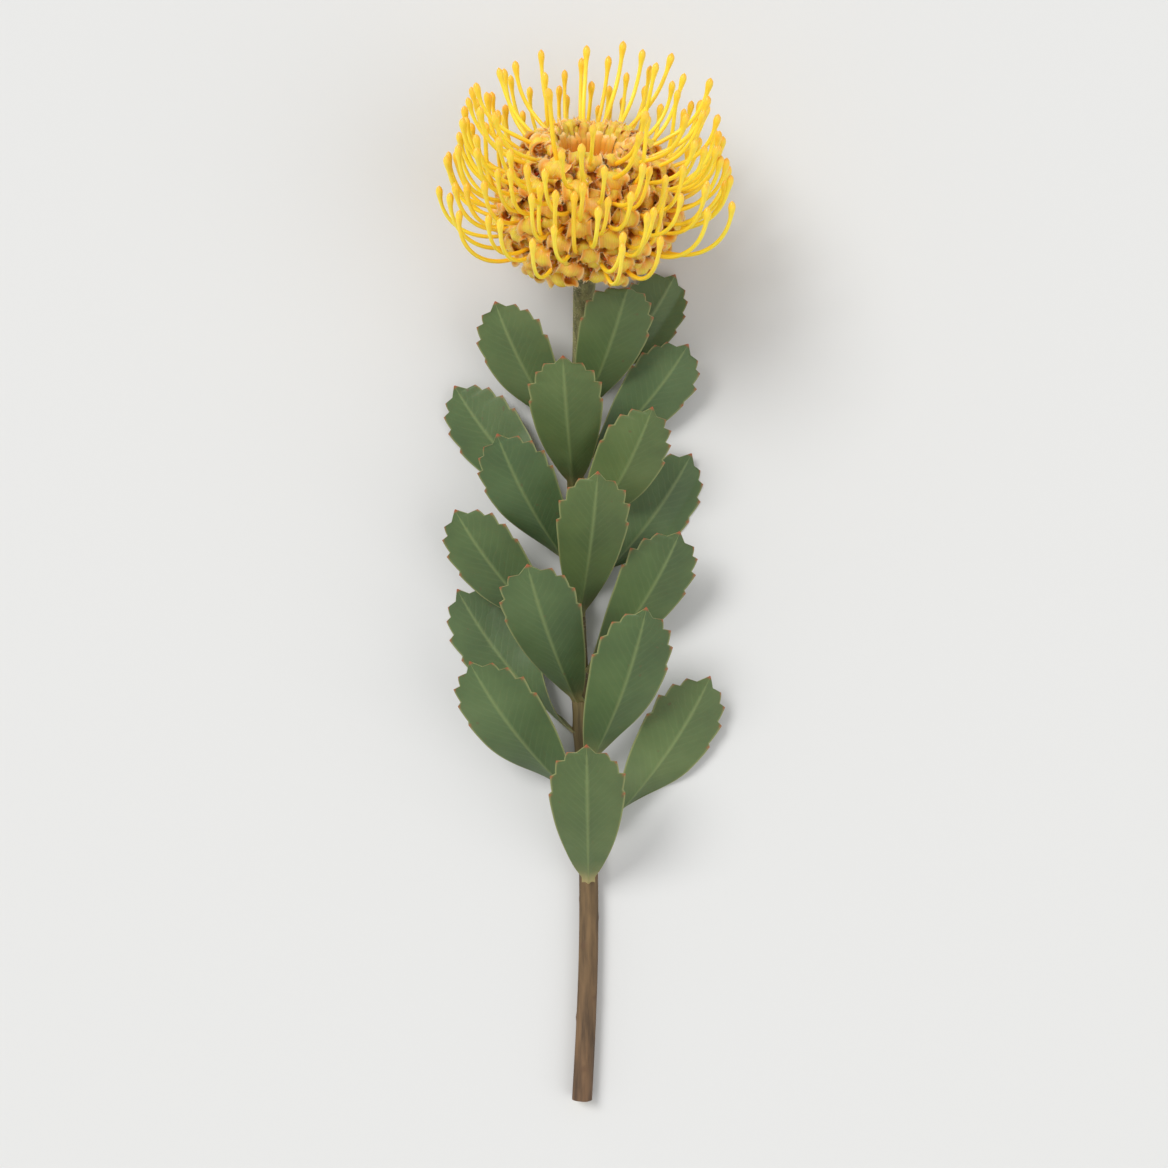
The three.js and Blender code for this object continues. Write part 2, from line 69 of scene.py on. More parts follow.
# Bark. A reach is a length along the stem and an angle round it
BARK_ROWS = 260
BARK_COLUMNS = 28
BARK_SHARE = 0.985
BARK_LOWEST = 0.02
BARK_RIBS = 5
BARK_RIB_HEIGHT = 0.1
LEAF_BASE_HEIGHT = 0.42
LEAF_BASE_REACH = (3.2, 0.6)
SCARS = 8
SCAR_FIRST = 12
SCAR_STEP = 9.4
SCAR_HEIGHT = 0.28
SCAR_REACH = (1.1, 0.42)
CUT_DEPTH = 0.25
DOWN_HAIRS = 2600
DOWN_FROM = 150
DOWN_LOWEST = 0.8

# Bloom
HEAD_PITCH = math.radians(36)
HEAD_HEIGHT = 39.6
HEAD_REACH = 66
STEM_TO_BALL = 29.3
CORE_RADIUS = 27
CORE_HALF_HEIGHT = 23
RIM_ANGLE = math.radians(26)
SKIRT_ANGLE = math.radians(130)
RIM_CLEAR = 1.08
FLORETS = 87

# Core of the bloom
CORE_COVER = 0.6
CORE_ROWS = 46
CORE_COLUMNS = 240
CORE_TUBES = 40
CORE_TUBE_DEPTH = 0.9
CORE_FOOT_ROWS = 16
CORE_FOOT_RADIUS = 9
CORE_FOOT_HEIGHT = -20.4

# Hollow. Each place is a radius and a height
HOLLOW_FLOOR = 4
HOLLOW_FLOOR_RADIUS = 7.4
HOLLOW_DOME = 2.2
HOLLOW_WALL = ((8.2, 7), (9.6, 12), (11.2, 18), (12, 21.5))
HOLLOW_COLUMNS = 60
TUBES = 36
TUBE_ROWS = 26
TUBE_COLUMNS = 9
TUBE_SHARES = (0, 0.3, 0.62, 0.8, 0.92, 1)
TUBE_PLACES = ((6.6, 3.6), (8.7, 10.5), (10.6, 17.2), (11.3, 20.8), (12.2, 22.8), (13.4, 23))
TUBE_HALF_WIDTHS = (0.82, 1.1, 1.32, 1.6)
TUBE_LIFT = 1.4
LIP_START = 0.72
LIP_HAIRS = 26
LIP_HAIR_ROWS = 9

# Perianths
CURL_LEAN = math.radians(20)
RIBBONS_BETWEEN = 120
RIBBONS_UNDER = 170
RIBBONS_AT_RIM = 34
RIBBON_ROOT = -2.5
RIBBON_SHARES = (0, 0.16, 0.34, 0.6, 0.85, 1)
RIBBON_WIDTHS = (0.5, 0.72, 0.95, 1, 0.94, 0.7)
TIP_LENGTH = 2.5
TIP_ROWS = 8
WOOL_LENGTH = 1.35

# Styles
STYLES_BETWEEN = 50
STYLE_RADIUS = 0.8
STYLE_ROOT = 4.6
STYLE_ABOVE_CURL = 2.8
STYLE_LEAVES = (math.radians(50), math.radians(124))
STYLE_ENDS = (math.radians(12), math.radians(-4))
STYLE_TIP_RADIUS = (39, 54.5)
STYLE_TIP_HEIGHT = (50, 9)
STYLE_BULGE = 0.48
STYLE_SCATTER = 2.6
STYLE_CLEARANCE = 1.5
STYLE_SOFTNESS = 0.8
STYLE_STEPS = 400
STYLE_SIDES = 10
STYLES_CLEAR_HOLLOW = 11.3
INCURVED_EVERY = 11
INCURVED_FIRST = 5
INCURVED_BY = 13
INCURVED_HIGHER = 5.2
CLUB_PLACES = (0, 0.3, 0.9, 1.9, 2.9, 4.2, 5.6, 7.2)
CLUB_RADII = (0.3, 0.7, 1.1, 1.34, 1.26, 1.02, 0.82, 0.72)
CLUB_LENGTH = CLUB_PLACES[-1]
CLUB_SHARE = 0.14
SHAFT_END = 7

# Involucre
INVOLUCRE_CUP = ((0, -29), (4.5, -29), (6.6, -26.6), (8.6, -23.4), (9.4, -21.3), (0, -21.3))
INVOLUCRE_COLUMNS = 40
BRACT_ROWS = (
    {"count": 7, "radius": 6.2, "height": -26.4, "length": 7, "width": 7, "tilt": math.radians(36)},
    {"count": 10, "radius": 8.4, "height": -23.4, "length": 8.6, "width": 6.6, "tilt": math.radians(30)},
)
BRACT_ROOT = 2
BRACT_HALF_THICKNESS = 0.35
BRACT_HAIRS = 40

# Leaves
LEAVES = 18
LEAF_FIRST = 84
LEAF_LAST = 271
LEAF_CROWDING = 0.82
LEAF_LENGTH = (76, 56)
LEAF_WIDTH = (28, 25)
LEAF_BASE_WIDTH = 5
LEAF_ROOT = 2.6
LEAF_CLEAR = 0.6
LEAF_AROUND = 0.58
LEAF_RISE = (math.radians(50), math.radians(27))
LEAF_RISE_SCATTER = math.radians(4)
LEAF_FOLD = 0.2
LEAF_TWIST = 0.8
LEAF_TWISTED_AT = 0.55
LEAF_SHOULDER = 0.96
LEAF_COLUMNS = 25
LEAF_ROW = 1.2
LEAF_TIP_ROWS = 8
LEAF_WAVE = 0.45
LEAF_WAVE_LENGTH = 8.5
LEAF_HALF_THICKNESS = (0.29, 0.15)
LEAF_LOWEST = {"under": 0.03, "upper": 0.4}
MIDRIB_HEIGHT = 0.45
MIDRIB_WIDTH = 0.8
CALLUS_REACH = 0.75
HEAD_TO_LEAVES = 22
HEAD_SOFTNESS = 2
TOOTH_OUT = 1.1
TOOTH_FORWARD = 1.9
TOOTH_OVERHANG = 0.7
NOTCH_IN = 0.9
# Shares of a leaf's length, each with a tooth, a notch where negative, or neither
LEAF_EDGE = (
    (0, 0), (0.12, 0), (0.27, 0), (0.42, 0), (0.56, 0), (0.68, 0.7), (0.715, -0.6),
    (0.8, 1), (0.835, -1), (0.9, 1), (0.925, -1), (0.965, 1), (0.985, -1),
)

# Studio, in metres, with the camera's lens and sensor in millimetres
FLOOR_REACH = 20
FLOOR_COLOUR = (0.66, 0.66, 0.65, 1)
# The Z of a direction, and the sky's brightness there
SKY = ((0.1, 0.83), (0.4, 0.62))
SUNS = (
    {"name": "key", "away": (-0.75, 0.6, 1.12), "breadth": math.radians(26), "power": 2},
    {"name": "fill", "away": (0.9, -0.35, 0.87), "breadth": math.radians(50), "power": 0.6},
)
CAMERA_LENS = 60
CAMERA_SENSOR = 36
CAMERA_FIELD = 0.43
CAMERA_FIELD_LEVEL = 0.03


def scatter(index, feature):
    """A repeatable draw from -1 to 1 for one piece, or an array of pieces, and one feature."""
    wave = np.sin(index * 127.1 + feature * 311.7) * 43758.5453
    return 2 * (wave - np.floor(wave)) - 1


def vary(index, feature, middle=0.5, by=0.5):
    """A repeatable draw round a middle value."""
    return middle + by * scatter(index, feature)


def lerp(low, high, share):
    return low + (high - low) * share


def smoothstep(x, low, high):
    t = np.clip((x - low) / (high - low), 0, 1)
    return t * t * (3 - 2 * t)


def soft_limit(value, limit, softness):
    """Keeps a value above a limit, and bends it towards the limit smoothly."""
    over = (value - limit) / softness
    return limit + softness * np.logaddexp(0, over)


def unit(v):
    return v / np.linalg.norm(v, axis=-1, keepdims=True)


def turned(v, axis, angle):
    """The vectors v turned about unit axes by angles."""
    cosine, sine = np.cos(angle)[..., None], np.sin(angle)[..., None]
    along = np.sum(axis * v, -1, keepdims=True) * axis
    return v * cosine + np.cross(axis, v) * sine + along * (1 - cosine)


def full_turn(columns):
    """The angles of a ring's columns."""
    return np.linspace(0, math.tau, columns, endpoint=False)


def strip_shares(rows, columns):
    """A strip's shares of its length, from 0 to 1 by rows, and of its half-width, from -1 to 1 by columns."""
    return np.linspace(0, 1, rows)[:, None], np.linspace(-1, 1, columns)[None]


# The stem's line
BALL_Y = OVERALL_LENGTH - HEAD_REACH
STEM_TOP_Y = BALL_Y - STEM_TO_BALL * math.cos(HEAD_PITCH)
STEM_TOP_HEIGHT = HEAD_HEIGHT - STEM_TO_BALL * math.sin(HEAD_PITCH)
NECK_RUN = 2 * (STEM_TOP_HEIGHT - STEM_RADIUS_NECK * STEM_FACET - STEM_BOW) / math.tan(HEAD_PITCH)
NECK_START_Y = STEM_TOP_Y - NECK_RUN


def stem_taper(y):
    return lerp(STEM_RADIUS_CUT, STEM_RADIUS_NECK, np.minimum(1, y / NECK_START_Y))


def stem_radius(y):
    return lerp(stem_taper(y), STEM_RADIUS_TOP, smoothstep(y / STEM_TOP_Y, STEM_SWELLING, 1))


def stem_point(y):
    y = np.asarray(y, float)
    rise = np.maximum(0, y - NECK_START_Y) ** 2 * math.tan(HEAD_PITCH) / (2 * NECK_RUN)
    bow = STEM_BOW * smoothstep(y, STEM_LYING, STEM_BOW_FULL)
    sway = STEM_SWAY * np.sin(2 * math.pi * y / STEM_SWAY_LENGTH)
    return np.stack([sway, y, stem_taper(y) * STEM_FACET + bow + rise], -1)


def stem_frame(y):
    """The stem's own directions: along it, out to its right and out of its upper side."""
    along = unit(stem_point(y + 0.5) - stem_point(y - 0.5))
    right = unit(np.cross(along, [0, 0, 1]))
    return along, right, np.cross(right, along)


def facing(turn, right, up):
    """The direction that is turned from up towards right."""
    turn = np.asarray(turn, float)[..., None]
    return right * np.sin(turn) + up * np.cos(turn)


def stem_rings(ys, turn, radius):
    """Rings of points round the stem, rows by columns."""
    _, right, up = stem_frame(ys)
    return stem_point(ys)[:, None] + facing(turn, right[:, None], up[:, None]) * radius[..., None]


# The bloom's axis, its directions and the middle of its ball
HEAD_AXIS, HEAD_RIGHT, HEAD_UP = stem_frame(STEM_TOP_Y)
BALL = stem_point(STEM_TOP_Y) + HEAD_AXIS * STEM_TO_BALL


def outward(around):
    return facing(around, HEAD_RIGHT, HEAD_UP)


def leaning(around, angle):
    """A direction at an angle from the bloom's axis."""
    return outward(around) * math.sin(angle) + HEAD_AXIS * math.cos(angle)


def in_head(radius, around, height):
    """A point of the bloom by its distance from the axis, its turn round it and its height along it."""
    radius, height = np.asarray(radius, float)[..., None], np.asarray(height, float)[..., None]
    return BALL + HEAD_AXIS * height + outward(around) * radius


def place_at(angle, around):
    """A place on the ball by its angle from the axis and its turn round it, with its own directions."""
    radial = outward(around)
    foot = in_head(CORE_RADIUS * math.sin(angle), around, CORE_HALF_HEIGHT * math.cos(angle))
    out = unit(radial * math.sin(angle) / CORE_RADIUS + HEAD_AXIS * math.cos(angle) / CORE_HALF_HEIGHT)
    side = unit(np.cross(HEAD_AXIS, radial))
    down = unit(np.cross(side, out))
    share = (angle - RIM_ANGLE) / (SKIRT_ANGLE - RIM_ANGLE)
    return {"share": share, "around": around, "foot": foot, "out": out, "side": side, "down": down}


def spiral_place(index, count, rim_angle=RIM_ANGLE, turn=0):
    """The place of one of count pieces that share the ball evenly, each a golden angle on from the last."""
    angle = math.acos(lerp(math.cos(rim_angle), math.cos(SKIRT_ANGLE), (index + 0.5) / count))
    return place_at(angle, index * GOLDEN_ANGLE + turn)


def between(index, count, turn):
    """The place of one of count pieces in the room between the florets, clear of the rim."""
    return spiral_place(index, count, RIM_ANGLE * RIM_CLEAR, turn)


# The local origin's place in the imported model, found by the low corner of the stem's box in both
CAD_YS = np.linspace(0, STEM_TOP_Y, CAD_STEM_RINGS)
LOW = stem_rings(CAD_YS, full_turn(STEM_SIDES), stem_radius(CAD_YS)[:, None]).min((0, 1))
STEM_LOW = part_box("stem")[0]
SHIFT = np.array([STEM_LOW.x - LOW[0] / 1000, STEM_LOW.y - LOW[1] / 1000, 0])


def add_object(name, data):
    made = bpy.data.objects.new(name, data)
    bpy.context.scene.collection.objects.link(made)
    return made


class Surface:
    """Collects the grids of one object, with a value of each named attribute at every vertex."""

    def __init__(self, *names):
        self.points, self.faces, self.count = [], [], 0
        self.values = {name: [] for name in names}

    def add(self, points, faces, values):
        self.points.append(points.reshape(-1, 3))
        self.faces.append(faces + self.count)
        for name, parts in self.values.items():
            parts.append(values[name].reshape(-1))
        self.count += len(self.points[-1])

    def grid(self, points, closed=False, **values):
        """A grid of points, rows by columns. closed joins the last column to the first."""
        rows, columns = points.shape[:2]
        index = np.arange(rows * columns).reshape(rows, columns)
        if closed:
            index = np.concatenate([index, index[:, :1]], 1)
        corners = (index[:-1, :-1], index[:-1, 1:], index[1:, 1:], index[1:, :-1])
        full = {k: np.broadcast_to(v, (rows, columns)) for k, v in values.items()}
        self.add(points, np.stack(corners, -1).reshape(-1, 4), full)

    def tube(self, centres, radii, sides, **values):
        """A tube round a line of centres. Each ring is turned as the one before it, so that none twists."""
        along = unit(np.gradient(centres, axis=0))
        across = np.empty_like(centres)
        across[0] = unit(np.cross(along[0], [0.31, 0.42, 0.85]))
        for k in range(1, len(centres)):
            across[k] = unit(across[k - 1] - along[k] * (across[k - 1] @ along[k]))
        over = np.cross(across, along)
        turn = full_turn(sides)[None, :, None]
        ring = np.cos(turn) * across[:, None] + np.sin(turn) * over[:, None]
        full = {k: np.reshape(v, (-1, 1)) for k, v in values.items()}
        self.grid(centres[:, None] + ring * np.reshape(radii, (-1, 1, 1)), closed=True, **full)

    def make(self, name, material, slot, *nodes, smooth=True):
        """Makes the object, which rides on the flower's only body and replaces the nodes."""
        points = np.concatenate(self.points) / 1000 + SHIFT
        mesh = bpy.data.meshes.new(name)
        faces = [row for block in self.faces for row in block.tolist()]
        mesh.from_pydata(points.tolist(), [], faces)
        for key, parts in self.values.items():
            attribute = mesh.attributes.new(key, "FLOAT", "POINT")
            attribute.data.foreach_set("value", np.concatenate(parts).astype(np.float32))
        mesh.polygons.foreach_set("use_smooth", [smooth] * len(mesh.polygons))
        mesh.materials.append(material)
        piece = add_object(name, mesh)
        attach(piece, "root")
        if nodes:
            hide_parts(*nodes)


def make_hairs(name, slot, roots, ways, width, seed, length, by=0, feature=0):
    """Makes an object of fine tapered hairs, one narrow triangle each, that stray from their ways.

    roots and ways are lists of arrays. The hairs' lengths vary by a draw of the feature.
    """
    roots, ways = np.concatenate(roots), np.concatenate(ways)
    count = len(roots)
    pick = np.arange(count) + seed * 17.3
    stray = np.stack([scatter(pick, 1), scatter(pick, 2), scatter(pick, 3)], -1)
    ways = unit(ways + stray * 0.55)
    across = unit(np.cross(ways, stray + 0.01)) * width / 2
    tips = roots + ways * vary(np.arange(count), feature, length, by)[:, None]
    hairs = Surface()
    hairs.add(np.stack([roots - across, roots + across, tips], 1), np.arange(count * 3).reshape(-1, 3), {})
    hairs.make(name, hair_paint(), slot, smooth=False)


# Materials
def rgb(red, green, blue):
    """An sRGB colour of 0 to 255 as the linear colour that shaders take."""
    def linear(value):
        value /= 255
        return value / 12.92 if value <= 0.04045 else ((value + 0.055) / 1.055) ** 2.4
    return (linear(red), linear(green), linear(blue), 1)


class Nodes:
    """Adds to a node tree. A value is a constant, an attribute's name or a node's output."""

    def __init__(self, owner, shader):
        owner.use_nodes = True
        self.tree = owner.node_tree
        self.shader = self.tree.nodes[shader]

    def node(self, kind, values=None, **settings):
        """A new node with its settings, and with values for its sockets."""
        made = self.tree.nodes.new(kind)
        for key, value in settings.items():
            setattr(made, key, value)
        for socket, value in (values or {}).items():
            self.feed(made.inputs[socket], value)
        return made

    def feed(self, socket, value):
        if isinstance(value, (int, float, tuple)):
            socket.default_value = value
            return
        if isinstance(value, str):
            value = self.node("ShaderNodeAttribute", attribute_name=value).outputs["Fac"]
        self.tree.links.new(value, socket)

    def ramp(self, value, *stops):
        """A colour ramp. Each stop is a position with red, green and blue, or with one level to mix by."""
        made = self.node("ShaderNodeValToRGB", {"Fac": value})
        elements = made.color_ramp.elements
        while len(elements) < len(stops):
            elements.new(0.5)
        for element, (position, *colour) in zip(elements, stops):
            element.position = position
            element.color = rgb(*colour) if len(colour) == 3 else (*colour * 3, 1)
        return made.outputs["Color"]


class Paint(Nodes):
    """Builds one material."""

    def __init__(self, name, roughness, subsurface=(0, 0.05)):
        """subsurface is its weight and its scale in metres."""
        self.material = bpy.data.materials.new(name)
        super().__init__(self.material, "Principled BSDF")
        self.feed(self.shader.inputs["Roughness"], roughness)
        self.feed(self.shader.inputs["Subsurface Weight"], subsurface[0])
        self.feed(self.shader.inputs["Subsurface Scale"], subsurface[1])

    def noise(self, scale, detail=3.0, roughness=0.55, stretch=None):
        place = self.node("ShaderNodeTexCoord").outputs["Object"]
        if stretch:
            place = self.node("ShaderNodeMapping", {"Vector": place, "Scale": stretch}).outputs["Vector"]
        values = {"Vector": place, "Scale": scale, "Detail": detail, "Roughness": roughness}
        return self.node("ShaderNodeTexNoise", values).outputs["Fac"]

    def math(self, operation, a, b=0):
        return self.node("ShaderNodeMath", {0: a, 1: b}, operation=operation).outputs["Value"]

    def mix(self, share, a, b, blend="MIX"):
        """Mixes two colours. Sockets 0, 6 and 7 are the node's share and its two colours."""
        values = {0: share, 6: a, 7: b}
        return self.node("ShaderNodeMix", values, data_type="RGBA", blend_type=blend).outputs[2]

    def bump(self, height, strength, distance):
        values = {"Height": height, "Strength": strength, "Distance": distance}
        self.feed(self.shader.inputs["Normal"], self.node("ShaderNodeBump", values).outputs["Normal"])

    def colour(self, value):
        """Gives the material its colour, and hands the material over."""
        self.feed(self.shader.inputs["Base Color"], value)
        return self.material


def style_paint():
    """Bright yellow, deeper towards the root, with a club that ends in light orange."""
    paint = Paint("style", roughness=0.36, subsurface=(0.2, 0.0015))
    base = paint.ramp("along", (0, 230, 160, 30), (0.25, 252, 206, 40), (0.55, 255, 228, 56),
                      (0.88, 255, 230, 68), (0.96, 255, 220, 64), (1, 252, 186, 56))
    warm = paint.ramp("tint", (0.4, 255, 255, 255), (1, 255, 242, 222))
    return paint.colour(paint.mix(1, base, warm, "MULTIPLY"))


def perianth_paint():
    """Golden cream in the trough, salmon in patches and towards the ruffled edges, pale at the very edge."""
    paint = Paint("perianth", roughness=0.5, subsurface=(0.4, 0.003))
    tone = paint.ramp("along", (0, 226, 130, 18), (0.2, 243, 166, 30), (0.45, 252, 206, 66),
                      (0.7, 250, 190, 54), (1, 244, 136, 44))
    salmon = paint.ramp(paint.noise(150, 2), (0.46, 0), (0.66, 0.7))
    tone = paint.mix(salmon, tone, rgb(250, 150, 66))
    olive = paint.ramp("tint", (0.5, 0), (1, 0.5))
    tone = paint.mix(olive, tone, rgb(226, 194, 56))
    fibres = paint.ramp(paint.math("SINE", paint.math("MULTIPLY", "edge", 34)), (0.5, 0), (1, 0.2))
    tone = paint.mix(fibres, tone, rgb(202, 110, 30))
    margin = paint.ramp("edge", (0.45, 0), (0.8, 0.62))
    tone = paint.mix(margin, tone, rgb(250, 152, 72))
    rim = paint.ramp("edge", (0.86, 0), (1, 0.75))
    return paint.colour(paint.mix(rim, tone, rgb(252, 224, 156)))


def limb_paint():
    """The small tips of the perianth lobes, orange to red."""
    paint = Paint("limb", roughness=0.5, subsurface=(0.2, 0.001))
    return paint.colour(paint.ramp("tint", (0, 246, 164, 84), (0.5, 240, 124, 62), (1, 230, 84, 44)))


def hair_paint():
    """The pale wool of the perianths, the bracts and the young stem."""
    paint = Paint("wool", roughness=0.7, subsurface=(0.2, 0.001))
    return paint.colour(rgb(244, 226, 188))


def core_paint():
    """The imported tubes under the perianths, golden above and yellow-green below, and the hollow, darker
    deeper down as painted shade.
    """
    paint = Paint("core", roughness=0.6)
    # The ramp's dark orange start is painted shade, used only deep in the hollow
    base = paint.ramp("along", (0, 176, 98, 30), (0.2, 242, 158, 46), (0.45, 252, 182, 60),
                      (0.75, 246, 190, 72), (1, 208, 190, 92))
    mottle = paint.ramp(paint.noise(240), (0.3, 190, 190, 190), (0.7, 255, 255, 255))
    return paint.colour(paint.mix(1, base, mottle, "MULTIPLY"))


def tube_paint():
    """The tubes that line the hollow: golden orange, darkened at the foot deep in the hollow as painted
    shade, with cream lips.
    """
    paint = Paint("strap", roughness=0.4, subsurface=(0.25, 0.002))
    # The dark colours at the foot are painted shade, where the tubes go down into the hollow
    return paint.colour(paint.ramp("along", (0, 130, 60, 20), (0.3, 206, 110, 28), (0.62, 228, 148, 40),
                                   (0.86, 238, 178, 70), (1, 248, 216, 144)))


def leaf_paint():
    """Matt grey-green, with a pale midrib, faint side veins, a thin pale margin and red-brown tooth tips."""
    paint = Paint("leaf", roughness=0.56, subsurface=(0.08, 0.002))
    base = paint.ramp(paint.noise(38, 4), (0.3, 74, 94, 56), (0.52, 86, 107, 64), (0.72, 98, 118, 74))
    tint = paint.ramp("tint", (0, 226, 236, 226), (1, 255, 250, 226))
    tone = paint.mix(1, base, tint, "MULTIPLY")
    side = paint.math("ABSOLUTE", "across")
    slant = paint.math("SUBTRACT", "along", paint.math("MULTIPLY", side, 0.2))
    wave = paint.math("ABSOLUTE", paint.math("SINE", paint.math("MULTIPLY", slant, 62)))
    vein = paint.math("MULTIPLY", paint.math("POWER", wave, 14), paint.math("SUBTRACT", 1, side))
    tone = paint.mix(paint.math("MULTIPLY", vein, 0.1), tone, rgb(126, 142, 94))
    rib = paint.ramp(side, (0, 0.5), (0.04, 0.22), (0.08, 0))
    tone = paint.mix(rib, tone, rgb(136, 150, 94))
    margin = paint.ramp(side, (0.94, 0), (0.99, 0.6))
    tone = paint.mix(margin, tone, rgb(158, 160, 104))
    foot = paint.ramp("along", (0, 0.9), (0.1, 0.15), (0.2, 0))
    tone = paint.mix(foot, tone, rgb(172, 158, 104))
    tone = paint.mix("callus", tone, rgb(160, 84, 50))
    specks = paint.ramp(paint.noise(320, 1), (0.74, 0), (0.8, 0.5))
    tone = paint.mix(specks, tone, rgb(98, 78, 48))
    relief = paint.math("ADD", paint.math("MULTIPLY", vein, -0.4), paint.noise(600))
    paint.bump(relief, 0.3, 0.0003)
    return paint.colour(tone)


def stem_paint():
    """Brown bark at the cut end that turns downy green towards the bloom."""
    paint = Paint("stem", roughness=0.75)
    bark = paint.ramp("along", (0, 112, 84, 58), (0.35, 122, 98, 62), (0.7, 140, 132, 82), (1, 162, 160, 108))
    grain = paint.noise(420, 3, 0.6, (1, 0.12, 1))
    streak = paint.ramp(grain, (0.34, 176, 176, 176), (0.66, 255, 255, 255))
    tone = paint.mix(1, bark, streak, "MULTIPLY")
    paint.bump(paint.noise(700, 3, 0.6, (1, 0.3, 1)), 0.4, 0.0004)
    return paint.colour(paint.mix("scar", tone, rgb(92, 66, 44)))


def wood_paint():
    """The freshly cut end of the stem: pith, pale wood and bark."""
    paint = Paint("cut_wood", roughness=0.7)
    return paint.colour(paint.ramp("across", (0, 150, 120, 74), (0.2, 164, 138, 88), (0.28, 214, 198, 150),
                                   (0.86, 206, 188, 134), (0.92, 122, 110, 60), (1, 96, 74, 48)))


def bract_paint():
    """Green-brown bracts with rusty ends."""
    paint = Paint("bract", roughness=0.8)
    return paint.colour(paint.ramp("along", (0, 132, 124, 76), (0.6, 158, 134, 84), (1, 150, 92, 58)))


# Stem
def bark_spot(ys, turn, y, azimuth, reach):
    """A soft spot, 1 at its middle, on the rows and columns of the bark."""
    away = np.angle(np.exp(1j * (turn[None] - azimuth)))
    return np.exp(-((ys[:, None] - y) / reach[0]) ** 2 - (away / reach[1]) ** 2)


def bark_relief(ys, turn):
    """The bark's radius, with a swelling under each leaf, and the scars of the leaves that it has lost."""
    radius = np.repeat((stem_radius(ys) * BARK_SHARE)[:, None], len(turn), 1)
    for index in range(LEAVES):
        figures = leaf_figures(index)
        radius += LEAF_BASE_HEIGHT * bark_spot(ys, turn, figures["y"], figures["azimuth"], LEAF_BASE_REACH)
    scars = np.zeros_like(radius)
    for index in range(SCARS):
        y = vary(index, 31, SCAR_FIRST + index * SCAR_STEP, 2)
        scars = np.maximum(scars, bark_spot(ys, turn, y, index * GOLDEN_ANGLE, SCAR_REACH))
    wander = 0.4 * np.sin(ys / 21)[:, None]
    ribs = BARK_RIB_HEIGHT * np.sin(turn * BARK_RIBS + wander) * (1 - ys / STEM_TOP_Y)[:, None]
    return radius + ribs + SCAR_HEIGHT * scars, scars


def build_stem():
    ys = np.linspace(0, STEM_TOP_Y, BARK_ROWS)
    turn = full_turn(BARK_COLUMNS)
    radius, scars = bark_relief(ys, turn)
    points = stem_rings(ys, turn, radius)
    points[..., 2] = np.maximum(points[..., 2], BARK_LOWEST)
    surface = Surface("along", "scar")
    surface.grid(points, closed=True, along=(ys / STEM_TOP_Y)[:, None], scar=scars * 0.8)
    surface.make("stem_bark", stem_paint(), "stem_bark", "stem")
    build_cut_end(points[0])


def build_cut_end(ring):
    """The cut face inside the bark's first ring, a little hollow."""
    shares = np.linspace(0, 1, 9)[:, None]
    middle = ring.mean(0)
    disc = middle + (ring[None] - middle) * shares[..., None]
    disc = disc - np.array([0, CUT_DEPTH, 0]) * (1 - shares ** 4)[..., None]
    surface = Surface("across")
    surface.grid(disc, closed=True, across=shares)
    surface.make("stem_cut_end", wood_paint(), "stem_bark")


def build_stem_down():
    """Short pale down on the young part of the stem."""
    pick = np.arange(DOWN_HAIRS)
    ys = lerp(DOWN_FROM, STEM_TOP_Y, vary(pick, 41) ** 0.7)
    along, right, up = stem_frame(ys)
    out = facing(math.pi * scatter(pick, 42), right, up)
    roots, ways = stem_point(ys) + out * stem_radius(ys)[:, None] * 0.98, out + 0.5 * along
    kept = roots[:, 2] > DOWN_LOWEST
    make_hairs("stem_down", "stem_bark", [roots[kept]], [ways[kept]], width=0.09, seed=5, length=1)


# Leaves
def leaf_figures(index):
    share = index / (LEAVES - 1)
    turns = index * GOLDEN_ANGLE / math.tau
    return {
        "y": lerp(LEAF_FIRST, LEAF_LAST, share ** LEAF_CROWDING),
        "azimuth": math.tau * (turns - math.floor(turns + 0.5)) * LEAF_AROUND,
        "length": vary(index, 11, lerp(*LEAF_LENGTH, share), 3),
        "width": vary(index, 12, lerp(*LEAF_WIDTH, share), 1.5),
    }


def leaf_edge(index, side, shares):
    """Half-width and height of one edge of a leaf at shares of its length, teeth included."""
    figures = leaf_figures(index)
    blunt = vary(index, 13, 4.2, 0.9)

    def swell(t):
        t = np.maximum(t, 0)
        return t ** 0.62 * (1 - t ** blunt) ** 0.55

    outs, forwards, places = [], [], [at for at, _ in LEAF_EDGE]
    for place, (at, tooth) in enumerate(LEAF_EDGE):
        size = tooth * vary(index * 2 + side, 14 + place, 0.8, 0.35)
        outs.append((TOOTH_OUT if tooth > 0 else NOTCH_IN) * size)
        room = (places[place + 1] - at) * figures["length"] * LEAF_SHOULDER if tooth > 0 else 0
        forwards.append(min(TOOTH_FORWARD * size, TOOTH_OVERHANG * room) if tooth > 0 else 0)
    outline = figures["width"] / 2 * swell(shares) / swell(0.7)
    across = np.maximum(LEAF_BASE_WIDTH / 2, outline + np.interp(shares, places, outs))
    return across, shares * figures["length"] * LEAF_SHOULDER + np.interp(shares, places, forwards)


def midrib(base, along, radial, rise, length, height):
    """Places and directions of a leaf's midrib at heights from its base."""
    angle = lerp(rise[0], rise[1], (height / length)[..., None])
    bend = (rise[1] - rise[0]) / length
    ahead = (np.sin(angle) - math.sin(rise[0])) / bend
    out = (math.cos(rise[0]) - np.cos(angle)) / bend
    return base + along * ahead + radial * out, along * np.cos(angle) + radial * np.sin(angle)


